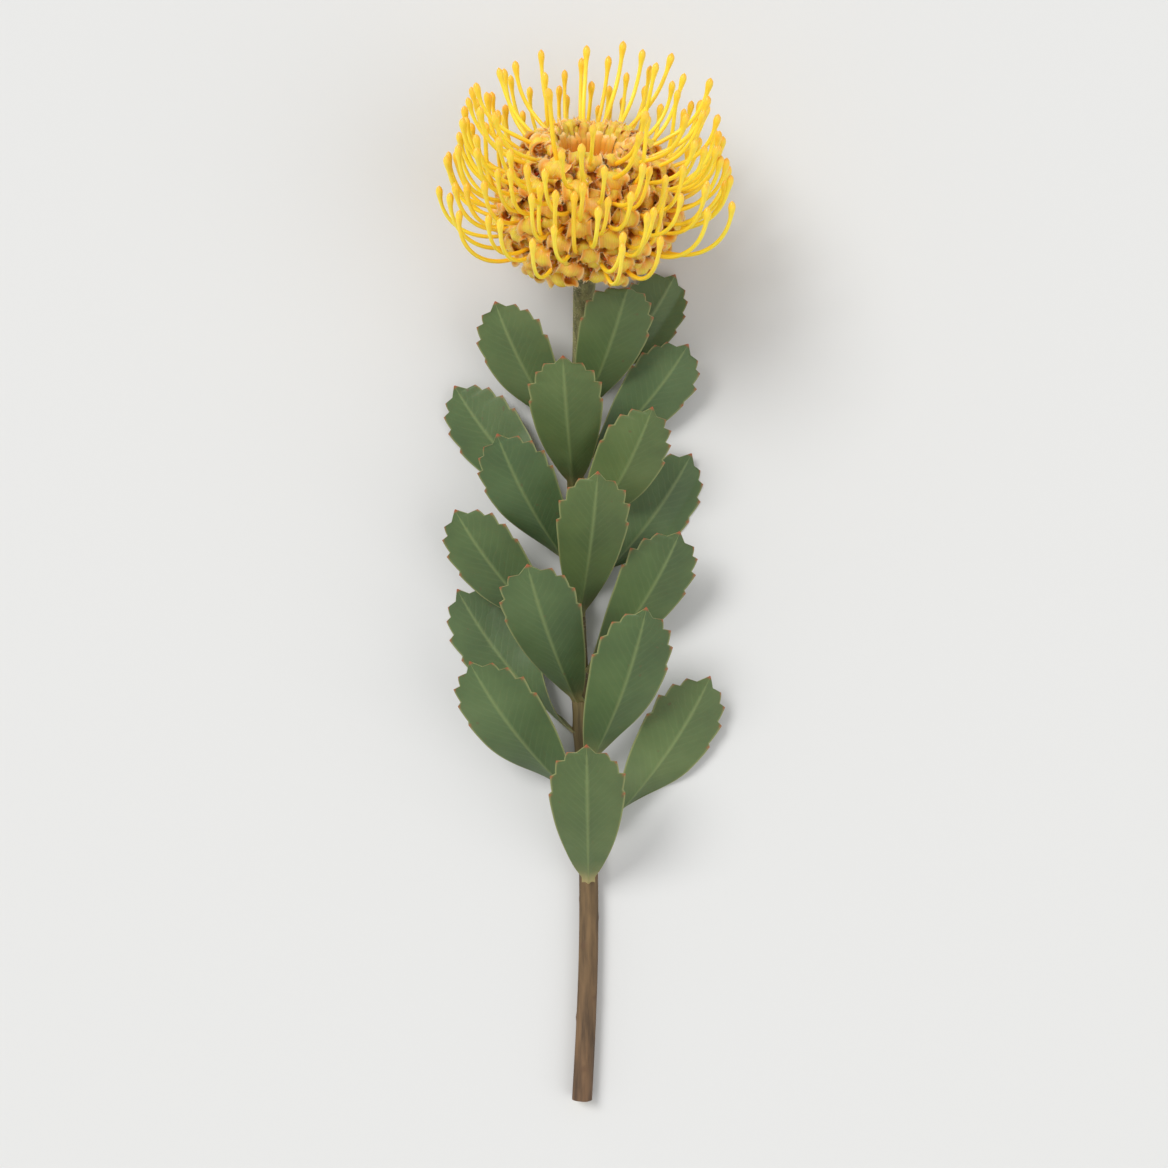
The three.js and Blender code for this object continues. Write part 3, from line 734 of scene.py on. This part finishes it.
def leaf_surface(index, across, height):
    """Points of a leaf's middle surface, at distances across it and heights above its base.

    Gives the direction of its inner side too, which faces the stem.
    """
    figures = leaf_figures(index)
    y, azimuth, length = figures["y"], figures["azimuth"], figures["length"]
    along, right, up = stem_frame(y)
    radial = facing(azimuth, right, up)
    tangent = facing(azimuth, -up, right)
    base = stem_point(y) + radial * (stem_radius(y) + LEAF_CLEAR)
    rise = [vary(index, 15, angle, LEAF_RISE_SCATTER) for angle in LEAF_RISE]
    middle, heading = midrib(base, along, radial, rise, length, height)
    twist = -azimuth * LEAF_TWIST * smoothstep(height / length, 0, LEAF_TWISTED_AT)
    wide = turned(np.broadcast_to(tangent, heading.shape), heading, twist)
    inner = unit(np.cross(heading, wide))
    across = across[..., None]
    middle = middle + wide * across + inner * np.abs(across) * LEAF_FOLD
    height = (middle - BALL) @ HEAD_AXIS
    pushed = -soft_limit(-height, HEAD_TO_LEAVES, HEAD_SOFTNESS) - height
    return middle + HEAD_AXIS * pushed[..., None], inner


def leaf_rows(length):
    """Shares of the length where a leaf's rows lie, from its root in the stem, with every tooth and notch."""
    places = [at for at, _ in LEAF_EDGE]
    shares = [-LEAF_ROOT / length, -LEAF_ROOT / 2 / length]
    for low, high in zip(places, places[1:]):
        rows = max(2, math.ceil((high - low) * length / LEAF_ROW))
        shares += list(np.linspace(low, high, rows, endpoint=False))
    return np.array(shares + places[-1:])


def leaf_grid(index):
    """A leaf's grid, which ends in rows that close to its tip.

    Gives the columns' shares of the half-width, the rows' of the length and, at each point, the distance
    across the leaf, the height above its base and how near its edge is, from 0 to 1.
    """
    length = leaf_figures(index)["length"]
    shares = leaf_rows(length)
    u = np.linspace(-1, 1, LEAF_COLUMNS)[None]
    u = np.sign(u) * (1 - (1 - np.abs(u)) ** 1.25)
    left, right = [leaf_edge(index, side, shares) for side in (0, 1)]
    edge_across, edge_height = [np.where(u < 0, a[:, None], b[:, None]) for a, b in zip(left, right)]
    middle = (left[1] + right[1])[:, None] / 2
    edginess = np.repeat(np.abs(u), len(shares), 0)
    across = u * edge_across
    height = lerp(middle, edge_height, edginess ** 3)
    closing = np.linspace(0, 0.98, LEAF_TIP_ROWS + 1)[1:, None]
    across = np.concatenate([across, across[-1:] * (1 - closing)])
    height = np.concatenate([height, lerp(height[-1:], length, closing)])
    edginess = np.concatenate([edginess, edginess[-1:] * (1 - closing)])
    shares = np.concatenate([shares[:, None], lerp(shares[-1], 1, closing)])
    return u, shares, across, height, edginess


def leaf_calluses(length, shares, height, edginess):
    """Where the tooth tips and the leaf's tip are red-brown, from 0 to 1."""
    callus = smoothstep(height, length - 1.6, length - 0.3)
    for at, tooth in LEAF_EDGE:
        if tooth > 0:
            nearness = np.exp(-(((shares - at) * length / CALLUS_REACH) ** 2))
            callus = np.maximum(callus, nearness * smoothstep(edginess, 0.9, 0.99))
    return callus


def round_edge(grid):
    """A leaf grid's values up one edge, over the tip and down the other edge."""
    return np.concatenate([grid[:, 0], grid[-1, 1:], grid[-2::-1, -1]])


def build_leaf(index, paint):
    """One leaf: two slightly waved faces, thicker at the midrib, with a rim between them."""
    length = leaf_figures(index)["length"]
    u, shares, across, height, edginess = leaf_grid(index)
    points, inner = leaf_surface(index, across, height)
    phase = 3 * scatter(index, 61) + np.sign(u)
    wave = LEAF_WAVE * edginess ** 2 * np.sin(height / LEAF_WAVE_LENGTH + phase) * smoothstep(height, 8, 25)
    points = points + inner * wave[..., None]
    rib = MIDRIB_HEIGHT * np.exp(-((across / MIDRIB_WIDTH) ** 2)) * (1 - 0.75 * shares)
    half = lerp(*LEAF_HALF_THICKNESS, edginess ** 2) + rib
    callus = leaf_calluses(length, shares, height, edginess)
    tint = vary(index, 62)
    surface = Surface("across", "along", "callus", "tint")
    rims = []
    for sign in (1, -1):
        face = points - inner * half[..., None] * sign
        upper = sign * inner[len(shares) // 2, LEAF_COLUMNS // 2, 2] < 0
        face[..., 2] = np.maximum(face[..., 2], LEAF_LOWEST["upper" if upper else "under"])
        rims.append(round_edge(face))
        surface.grid(face[:, ::sign], across=u[:, ::sign], along=shares, callus=callus[:, ::sign], tint=tint)
    surface.grid(np.stack(rims, 1), across=1, along=0.5, callus=round_edge(callus)[:, None], tint=tint)
    name = f"leaf_{index + 1:02d}"
    surface.make(name + "_blade", paint, "leaf", name)


def build_leaves():
    paint = leaf_paint()
    for index in range(LEAVES):
        build_leaf(index, paint)


# Involucre
def bract_surface(bract, around, s, u):
    """The middle surface of a bract, with its directions ahead, across and over."""
    radial = outward(around)
    ahead = radial * math.cos(bract["tilt"]) + HEAD_AXIS * math.sin(bract["tilt"])
    across = unit(np.cross(HEAD_AXIS, radial))
    over = unit(np.cross(ahead, across))
    foot = in_head(bract["radius"], around, bract["height"]) - ahead * BRACT_ROOT
    length = s * (bract["length"] + BRACT_ROOT)
    width = u * bract["width"] / 2 * (1 - s ** 3) ** 0.6
    bow = 0.54 * u ** 2 * (1 - s) + 0.78 * s ** 2
    middle = foot + ahead * length[..., None] + across * width[..., None] + over * bow[..., None]
    return middle, ahead, across, over


def build_involucre():
    """A cup with two rows of thin bracts, and the hairs on them."""
    surface = Surface("along")
    radii, heights = np.transpose(INVOLUCRE_CUP)
    cup = in_head(radii[:, None], full_turn(INVOLUCRE_COLUMNS), heights[:, None])
    surface.grid(cup, closed=True, along=0)
    s, u = strip_shares(14, 9)
    thickness = BRACT_HALF_THICKNESS * (1 - 0.8 * u ** 2)
    roots, ways = [], []
    for row, bract in enumerate(BRACT_ROWS):
        for index in range(bract["count"]):
            around = (index + (row % 2) / 2) / bract["count"] * math.tau
            middle, ahead, across, over = bract_surface(bract, around, s, u)
            for side in (1, -1):
                surface.grid(middle + over * side * thickness[..., None], along=s)
            pick = index * BRACT_HAIRS + np.arange(BRACT_HAIRS)
            ahead_at, aside = vary(pick, 71 + row), scatter(pick, 75 + row)
            roots.append(middle[(ahead_at * 12.8).astype(int), ((aside + 1) * 4.4).astype(int)])
            ways.append(ahead * 0.8 - over * 0.5 + across * 0.6 * aside[:, None])
    surface.make("involucre_bracts", bract_paint(), "bract", "involucre")
    make_hairs("involucre_hairs", "bract", roots, ways, width=0.11, seed=9, length=2)


# Core of the bloom
def core_skin():
    """Radii, heights and colour shares of the core's skin, from the hollow's rim down to the core's foot."""
    down = np.arange(CORE_ROWS) / (CORE_ROWS - 1)
    angle = lerp(RIM_ANGLE * 1.02, SKIRT_ANGLE, down)
    radii = (CORE_RADIUS + CORE_COVER) * np.sin(angle)
    heights = (CORE_HALF_HEIGHT + CORE_COVER) * np.cos(angle)
    inwards = np.arange(1, CORE_FOOT_ROWS + 1) / CORE_FOOT_ROWS
    foot_radii = lerp(radii[-1], CORE_FOOT_RADIUS, inwards)
    foot_heights = lerp(heights[-1], CORE_FOOT_HEIGHT, inwards ** 0.8)
    shares = np.concatenate([lerp(0.25, 0.75, down), lerp(0.75, 1, inwards)])
    return np.concatenate([radii, foot_radii]), np.concatenate([heights, foot_heights]), shares


def build_core():
    """The receptacle with its packed tubes, and the hollow's floor and wall."""
    surface = Surface("along")
    radii, heights, shares = core_skin()
    turn = full_turn(CORE_COLUMNS)
    grooves = np.abs(np.sin(turn * CORE_TUBES / 2)) * CORE_TUBE_DEPTH - CORE_TUBE_DEPTH
    grooved = radii[:, None] + grooves * np.minimum(1, radii / 14)[:, None]
    surface.grid(in_head(grooved, turn, heights[:, None]), closed=True, along=shares[:, None])
    floor_radii = np.linspace(0.1, HOLLOW_FLOOR_RADIUS, 9)
    floor_heights = HOLLOW_FLOOR + HOLLOW_DOME * np.cos(floor_radii / 5.2)
    wall_radii, wall_heights = zip(*HOLLOW_WALL)
    radii = np.concatenate([floor_radii, wall_radii])
    heights = np.concatenate([floor_heights, wall_heights])
    # Painted shade: the hollow's floor and wall are coloured darker the deeper they lie
    shade_by_depth = np.interp(radii, [0, HOLLOW_FLOOR_RADIUS, 9.6, 12], [0.05, 0.1, 0.3, 0.5])
    hollow = in_head(radii[:, None], full_turn(HOLLOW_COLUMNS), heights[:, None])
    surface.grid(hollow, closed=True, along=shade_by_depth[:, None])
    surface.make("receptacle", core_paint(), "bloom", "flower_head")


def build_hollow():
    """The inmost florets' tubes, side by side round the hollow, with lips that flare over the rim."""
    surface = Surface("along")
    s, u = strip_shares(TUBE_ROWS, TUBE_COLUMNS)
    radii, heights = np.transpose(TUBE_PLACES)
    hair = np.arange(LIP_HAIRS)
    hair_rows = TUBE_ROWS - LIP_HAIR_ROWS + hair % LIP_HAIR_ROWS
    roots, ways = [], []
    for index in range(TUBES):
        around = vary(index, 81, (index + 0.5) / TUBES * math.tau, 0.06)
        lift = TUBE_LIFT * scatter(index, 82) * np.array([0, 0, 0, 0, 1, 1])
        radius = np.interp(s, TUBE_SHARES, radii) - vary(index, 86, 0.35, 0.35) * np.sin(math.pi * s)
        height = np.interp(s, TUBE_SHARES, heights + lift)
        half = np.interp(s, [0, 0.3, 0.75, 1], TUBE_HALF_WIDTHS) * vary(index, 87, 1, 0.2)
        crown = -0.55 * (1 - u ** 2)
        waves = 0.75 * np.sin(s * 17 + 3 * scatter(index, 83) + u * 1.7)
        ruffle = waves * smoothstep(s, LIP_START, 1) * np.abs(u)
        points = in_head(radius + crown + ruffle * 0.5, around + u * half / radius, height + ruffle)
        surface.grid(points, along=s)
        roots.append(points[hair_rows, np.where(hair % 2, 0, -1)])
        ways.append(HEAD_AXIS + outward(around) * vary(hair + index * LIP_HAIRS, 84, 0, 0.3)[:, None])
    surface.make("hollow_tubes", tube_paint(), "bloom")
    make_hairs("hollow_hairs", "bloom", roots, ways, width=0.1, seed=21, length=1.1, by=0.5, feature=85)


# Perianths
def rolled_path(radius, rise, back, turn, rows):
    """A ribbon's path as seen from its side: it rises, then rolls over as far as turn, ever tighter.

    Gives each row's reach from the foot, height over it and share of the length. back is how far the rising
    part stands behind the foot.
    """
    rising = np.linspace(0, 1, max(4, rows // 5), endpoint=False)
    angle = np.linspace(0, turn, rows - len(rising))
    tight = radius * (1 - 0.55 * smoothstep(angle, math.radians(130), math.radians(360)))
    reach = np.concatenate([lerp(0.4, -back, rising), radius - back - tight * np.cos(angle)])
    climb = np.concatenate([lerp(RIBBON_ROOT, rise, rising), rise + tight * np.sin(angle)])
    shares = np.concatenate([rising * 0.2, lerp(0.2, 1, np.linspace(0, 1, len(angle)))])
    return reach[:, None], climb[:, None], shares[:, None]


def ribbon_relief(seed, width, crimp, s, u):
    """How far a ribbon's surface stands off its middle line, and how its edges stretch.

    It curls in, with a crease on each side of its middle, and its edges flare and frill.
    """
    grown = smoothstep(s, 0.12, 0.4)
    waves = vary(seed, 202, 2.4, 0.9)
    phase = 3.1 * scatter(seed, 203)
    frill = np.sin(s * math.tau * waves + phase + 1.9 * np.sign(u)) * np.abs(u) ** 3
    crease = 0.035 * np.cos(u * math.pi * 1.5 + 0.5 * scatter(seed, 204))
    curl_in = -0.15 * u ** 2 * (1 - 0.4 * grown)
    flare = 0.13 * np.abs(u) ** 6 * grown
    stretch = 1 + 0.06 * np.sin(s * math.tau * waves * 0.7 + phase) * np.abs(u)
    return width * (curl_in + crease + flare + 0.09 * crimp * frill * grown), stretch


def ribbon(place, seed, width, radius, rise, back, turn, lean, rows=24, columns=9, crimp=1.0):
    """The middle surface of a ribbon that rises from a floret's foot and rolls over away from the styles.

    seed picks its waves and creases. Gives the points, their shares of the length and of the half-width,
    their normals and the direction of the ribbon's end.
    """
    out = place["out"]
    roll, wide = turned(place["down"], out, lean), turned(place["side"], out, lean)
    reach, climb, s = rolled_path(radius, rise, back, turn, rows)
    u = np.linspace(-1, 1, columns)[None]
    sway = 0.09 * width * np.sin(s * 5 + 3 * scatter(seed, 201))
    centre = place["foot"] + wide * sway + roll * reach + out * climb
    heading = unit(np.gradient(centre, axis=0))
    normal = unit(np.cross(heading, wide))
    height, stretch = ribbon_relief(seed, width, crimp, s, u)
    half = width / 2 * np.interp(s, RIBBON_SHARES, RIBBON_WIDTHS)
    normals = np.broadcast_to(normal[:, None], (rows, columns, 3))
    points = centre[:, None] + wide * (u * half * stretch)[..., None] + normals * height[..., None]
    return points, s, np.abs(u), normals, heading[-1]


class Perianths:
    """Collects the ribbons of each kind, the small tips of their lobes and the wool along them."""

    def __init__(self):
        kinds = ("perianths", "perianth_lobes", "perianths_between", "perianths_under")
        self.ribbons = {kind: Surface("along", "edge", "tint") for kind in kinds}
        self.tips = Surface("tint")
        self.roots, self.ways = [], []

    def add(self, kind, place, seed, tint, hairs, lobes=0, thickness=0.25, ages=(0, 1), **shape):
        """Both faces of a ribbon, thin at its edges, with its hairs and the tips of its lobes.

        ages are where its colours begin and end, as shares of a whole ribbon's.
        """
        points, s, edge, normals, heading = ribbon(place, seed, **shape)
        for side in (1, -1):
            face = points + normals * (side * thickness / 2) * (1 - 0.75 * edge)[..., None]
            self.ribbons[kind].grid(face[:, ::side], along=lerp(*ages, s), edge=edge[:, ::side], tint=tint)
        self.add_wool(points, normals, hairs, seed)
        for lobe in range(lobes):
            column = int(points.shape[1] / 2 + (lobe - (lobes - 1) / 2) * points.shape[1] / 3.2)
            ahead = unit(heading + place["out"] * 0.25 + 0.3 * scatter(seed, 205 + lobe))
            line = points[-1, column] + ahead * np.linspace(-0.5, TIP_LENGTH, TIP_ROWS)[:, None]
            radii = 0.18 + 0.58 * np.sin(np.linspace(0.1, math.pi * 0.97, TIP_ROWS)) ** 0.8
            self.tips.tube(line, radii, 7, tint=vary(seed, 210 + lobe))

    def add_wool(self, points, normals, count, seed):
        """Roots and directions of a ribbon's hairs, most of them along its edges."""
        pick = np.arange(count) + seed * 53.0
        rows, columns = points.shape[:2]
        row = (rows * (0.25 + 0.74 * vary(pick, 301))).astype(int)
        on_edge = scatter(pick, 302) > -0.4
        edge = np.where(scatter(pick, 303) > 0, 0, columns - 1)
        column = np.where(on_edge, edge, (columns * vary(pick, 304)).astype(int))
        lateral = unit(points[row, columns - 1] - points[row, 0]) * np.where(column == 0, -1, 1)[:, None]
        self.roots.append(points[row, column])
        self.ways.append(normals[row, column] + 0.9 * lateral * on_edge[:, None])

    def make(self):
        paint = perianth_paint()
        for kind, surface in self.ribbons.items():
            surface.make(kind, paint, "bloom")
        self.tips.make("perianth_tips", limb_paint(), "bloom")
        make_hairs("perianth_wool", "bloom", self.roots, self.ways, width=0.1, seed=33,
                   length=WOOL_LENGTH, by=0.45 * WOOL_LENGTH, feature=305)


def add_floret(perianths, index):
    """A floret's broad ribbon of three lobes, and its narrow fourth lobe, which rolls to one side."""
    place = spiral_place(index, FLORETS)
    size = vary(index, 2, 1, 0.14)
    lean = CURL_LEAN * scatter(index, 1)
    tint = vary(index, 91)
    turn = math.radians(vary(index, 92, 250, 65))
    perianths.add("perianths", place, index, tint, hairs=80, lobes=3, thickness=0.28,
                  width=vary(index, 89, 8.8, 1.3) * size, radius=3.3 * size, rise=4.1 * size, back=size,
                  turn=turn, lean=lean, rows=36, columns=17, crimp=0.9)
    side = 1 if scatter(index, 90) > 0 else -1
    swing = math.radians(vary(index, 93, 75, 40)) * smoothstep(place["share"], -0.1, 0.12)
    perianths.add("perianth_lobes", place, index + 100, 1 - tint, hairs=30, lobes=1,
                  width=4.8 * size, radius=2.3 * size, rise=3.8 * size, back=0.4,
                  turn=turn * 0.9, lean=lean + side * swing, rows=26)


def add_between(perianths, index):
    """A smaller ribbon between the florets, which rolls to either side except near the rim."""
    place = between(index, RIBBONS_BETWEEN, 1.1)
    swing = math.radians(130) * scatter(index, 95) * smoothstep(place["share"], 0, 0.2)
    perianths.add("perianths_between", place, index + 300, vary(index, 94), hairs=24,
                  lobes=int(index % 3 == 0), width=vary(index, 99, 5.6, 1), radius=vary(index, 96, 2.3, 0.6),
                  rise=vary(index, 98, 2.3, 1.2), back=0.4, turn=math.radians(vary(index, 97, 230, 80)),
                  lean=swing, crimp=1.2)


def add_under(perianths, index):
    """A low ribbon, which hides the core between the others."""
    place = between(index, RIBBONS_UNDER, 2.6)
    perianths.add("perianths_under", place, index + 700, vary(index, 126), hairs=16,
                  width=vary(index, 122, 6.8, 1), radius=vary(index, 123, 2.3, 0.3),
                  rise=vary(index, 124, 1.9, 0.7), back=0.6, turn=math.radians(vary(index, 125, 200, 50)),
                  lean=math.radians(60) * scatter(index, 121), rows=20)


def add_at_rim(perianths, index):
    """One of the frilled ribbons that crowd round the rim of the hollow."""
    around = vary(index, 112, index * math.tau / RIBBONS_AT_RIM, 0.1)
    place = place_at(vary(index, 111, RIM_ANGLE, math.radians(1.5)), around)
    perianths.add("perianths_between", place, index + 500, vary(index, 118, 0.3, 0.3), hairs=30,
                  ages=(0.4, 0.8), width=vary(index, 113, 6.2, 0.9), radius=vary(index, 114, 2.2, 0.5),
                  rise=vary(index, 115, 3.9, 1.3), back=0.2, turn=math.radians(vary(index, 116, 225, 80)),
                  lean=math.radians(32) * scatter(index, 117), crimp=1.5)


def build_perianths():
    """Every floret's perianth, with smaller ribbons between, under and round the hollow's rim."""
    perianths = Perianths()
    counts = {add_floret: FLORETS, add_between: RIBBONS_BETWEEN}
    counts |= {add_under: RIBBONS_UNDER, add_at_rim: RIBBONS_AT_RIM}
    for add, count in counts.items():
        for index in range(count):
            add(perianths, index)
    perianths.make()


# Styles
def style_line(index, place):
    """A style's curve from where it clears the hollow to its tip, and the distance along it at each point."""
    share, around = place["share"], place["around"]
    tip_around = vary(index, 5, around, math.radians(5))
    incurved = index % INCURVED_EVERY == INCURVED_FIRST
    radius = vary(index, 3, lerp(*STYLE_TIP_RADIUS, share), STYLE_SCATTER) - INCURVED_BY * incurved
    height = vary(index, 4, lerp(*STYLE_TIP_HEIGHT, share), STYLE_SCATTER) + INCURVED_HIGHER * incurved
    leaving = lerp(*STYLE_LEAVES, share)
    ending = vary(index, 6, lerp(*STYLE_ENDS, share), math.radians(6))
    start = place["foot"] - place["out"] * STYLE_ROOT - place["down"] * STYLE_ABOVE_CURL
    tip = in_head(radius, tip_around, height)
    pull = np.linalg.norm(tip - start) * STYLE_BULGE
    first = start + leaning(around, leaving) * pull
    second = tip - leaning(tip_around, ending) * pull
    t = np.linspace(0, 1, STYLE_STEPS)[:, None]
    line = start * (1 - t) ** 3 + 3 * first * t * (1 - t) ** 2 + 3 * second * t * t * (1 - t) + tip * t ** 3
    line[:, 2] = soft_limit(line[:, 2], STYLE_CLEARANCE, STYLE_SOFTNESS)
    from_axis = np.linalg.norm(np.cross(line - BALL, HEAD_AXIS), axis=1)
    line = line[np.argmax(from_axis > STYLES_CLEAR_HOLLOW):]
    travelled = np.concatenate([[0], np.cumsum(np.linalg.norm(np.diff(line, axis=0), axis=1))])
    return line, travelled


def add_style(surface, index, place):
    """A wiry rod that ends in a club with a closed end."""
    line, travelled = style_line(index, place)
    length = travelled[-1]
    from_tip = np.concatenate([np.linspace(length, CLUB_LENGTH + 1, 24), np.linspace(CLUB_LENGTH, 0, 15)])
    centres = np.stack([np.interp(length - from_tip, travelled, line[:, k]) for k in range(3)], -1)
    thinning = np.clip(1 - (from_tip - SHAFT_END) / (length - SHAFT_END), 0, 1)
    shaft = lerp(STYLE_RADIUS, CLUB_RADII[-1], thinning)
    radii = np.where(from_tip < CLUB_LENGTH, np.interp(from_tip, CLUB_PLACES, CLUB_RADII), shaft)
    on_shaft = (1 - CLUB_SHARE) * (1 - (from_tip - CLUB_LENGTH) / (length - CLUB_LENGTH))
    on_club = 1 - CLUB_SHARE * from_tip / CLUB_LENGTH
    along = np.where(from_tip < CLUB_LENGTH, on_club, on_shaft)
    tint = vary(index, 8)
    surface.tube(centres, radii * vary(index, 7, 1, 0.08), STYLE_SIDES, along=along, tint=tint)
    end = centres[-1] + unit(centres[-1] - centres[-2]) * 0.25
    last_ring = surface.points[-1][-STYLE_SIDES:]
    cap = np.stack([last_ring, np.broadcast_to(end, last_ring.shape)])
    surface.grid(cap, closed=True, along=1, tint=tint)


def build_styles():
    """The styles of the florets, and some more that rise between them."""
    surface = Surface("along", "tint")
    places = [spiral_place(index, FLORETS) for index in range(FLORETS)]
    places += [between(index, STYLES_BETWEEN, 0.55) for index in range(STYLES_BETWEEN)]
    for index, place in enumerate(places):
        add_style(surface, index, place)
    surface.make("styles", style_paint(), "bloom")


# Studio
def build_floor():
    mesh = bpy.data.meshes.new("floor")
    low, high = -FLOOR_REACH, FLOOR_REACH
    corners = [(low, low, 0), (high, low, 0), (high, high, 0), (low, high, 0)]
    mesh.from_pydata(corners, [], [range(4)])
    mesh.materials.append(Paint("floor", roughness=0.9).colour(FLOOR_COLOUR))
    floor = add_object("floor", mesh)


def build_sky():
    """Even white light from above. Low down it is as bright as the floor, so that no horizon shows."""
    world = bpy.data.worlds.new("studio")
    sky = Nodes(world, "Background")
    way = sky.node("ShaderNodeTexCoord").outputs["Generated"]
    parts = sky.node("ShaderNodeSeparateXYZ", {"Vector": way})
    sky.feed(sky.shader.inputs["Color"], sky.ramp(parts.outputs["Z"], *SKY))
    bpy.context.scene.world = world


def build_suns():
    """Two broad, far lights, each away from the flower in its own direction."""
    for sun in SUNS:
        light = bpy.data.lights.new(sun["name"], "SUN")
        light.angle = sun["breadth"]
        light.energy = sun["power"]
        x, y, z = sun["away"]
        turn = (math.acos(z / math.hypot(x, y, z)), 0, math.atan2(x, -y))
        add_object(sun["name"], light).rotation_euler = turn


def build_camera():
    """Looks straight down, so the bloom is seen from as far above its widest ring as in the photograph."""
    lens = bpy.data.cameras.new("camera")
    lens.lens = CAMERA_LENS
    lens.sensor_width = CAMERA_SENSOR
    camera = add_object("camera", lens)
    camera.location = (0, 0, CAMERA_FIELD_LEVEL + CAMERA_FIELD * CAMERA_LENS / CAMERA_SENSOR)
    bpy.context.scene.camera = camera
    bpy.context.scene.view_settings.view_transform = "Standard"
    bpy.context.scene.view_settings.look = "None"


build_stem()
build_stem_down()
build_leaves()
build_involucre()
build_core()
build_hollow()
build_perianths()
build_styles()
build_floor()
build_sky()
build_suns()
build_camera()
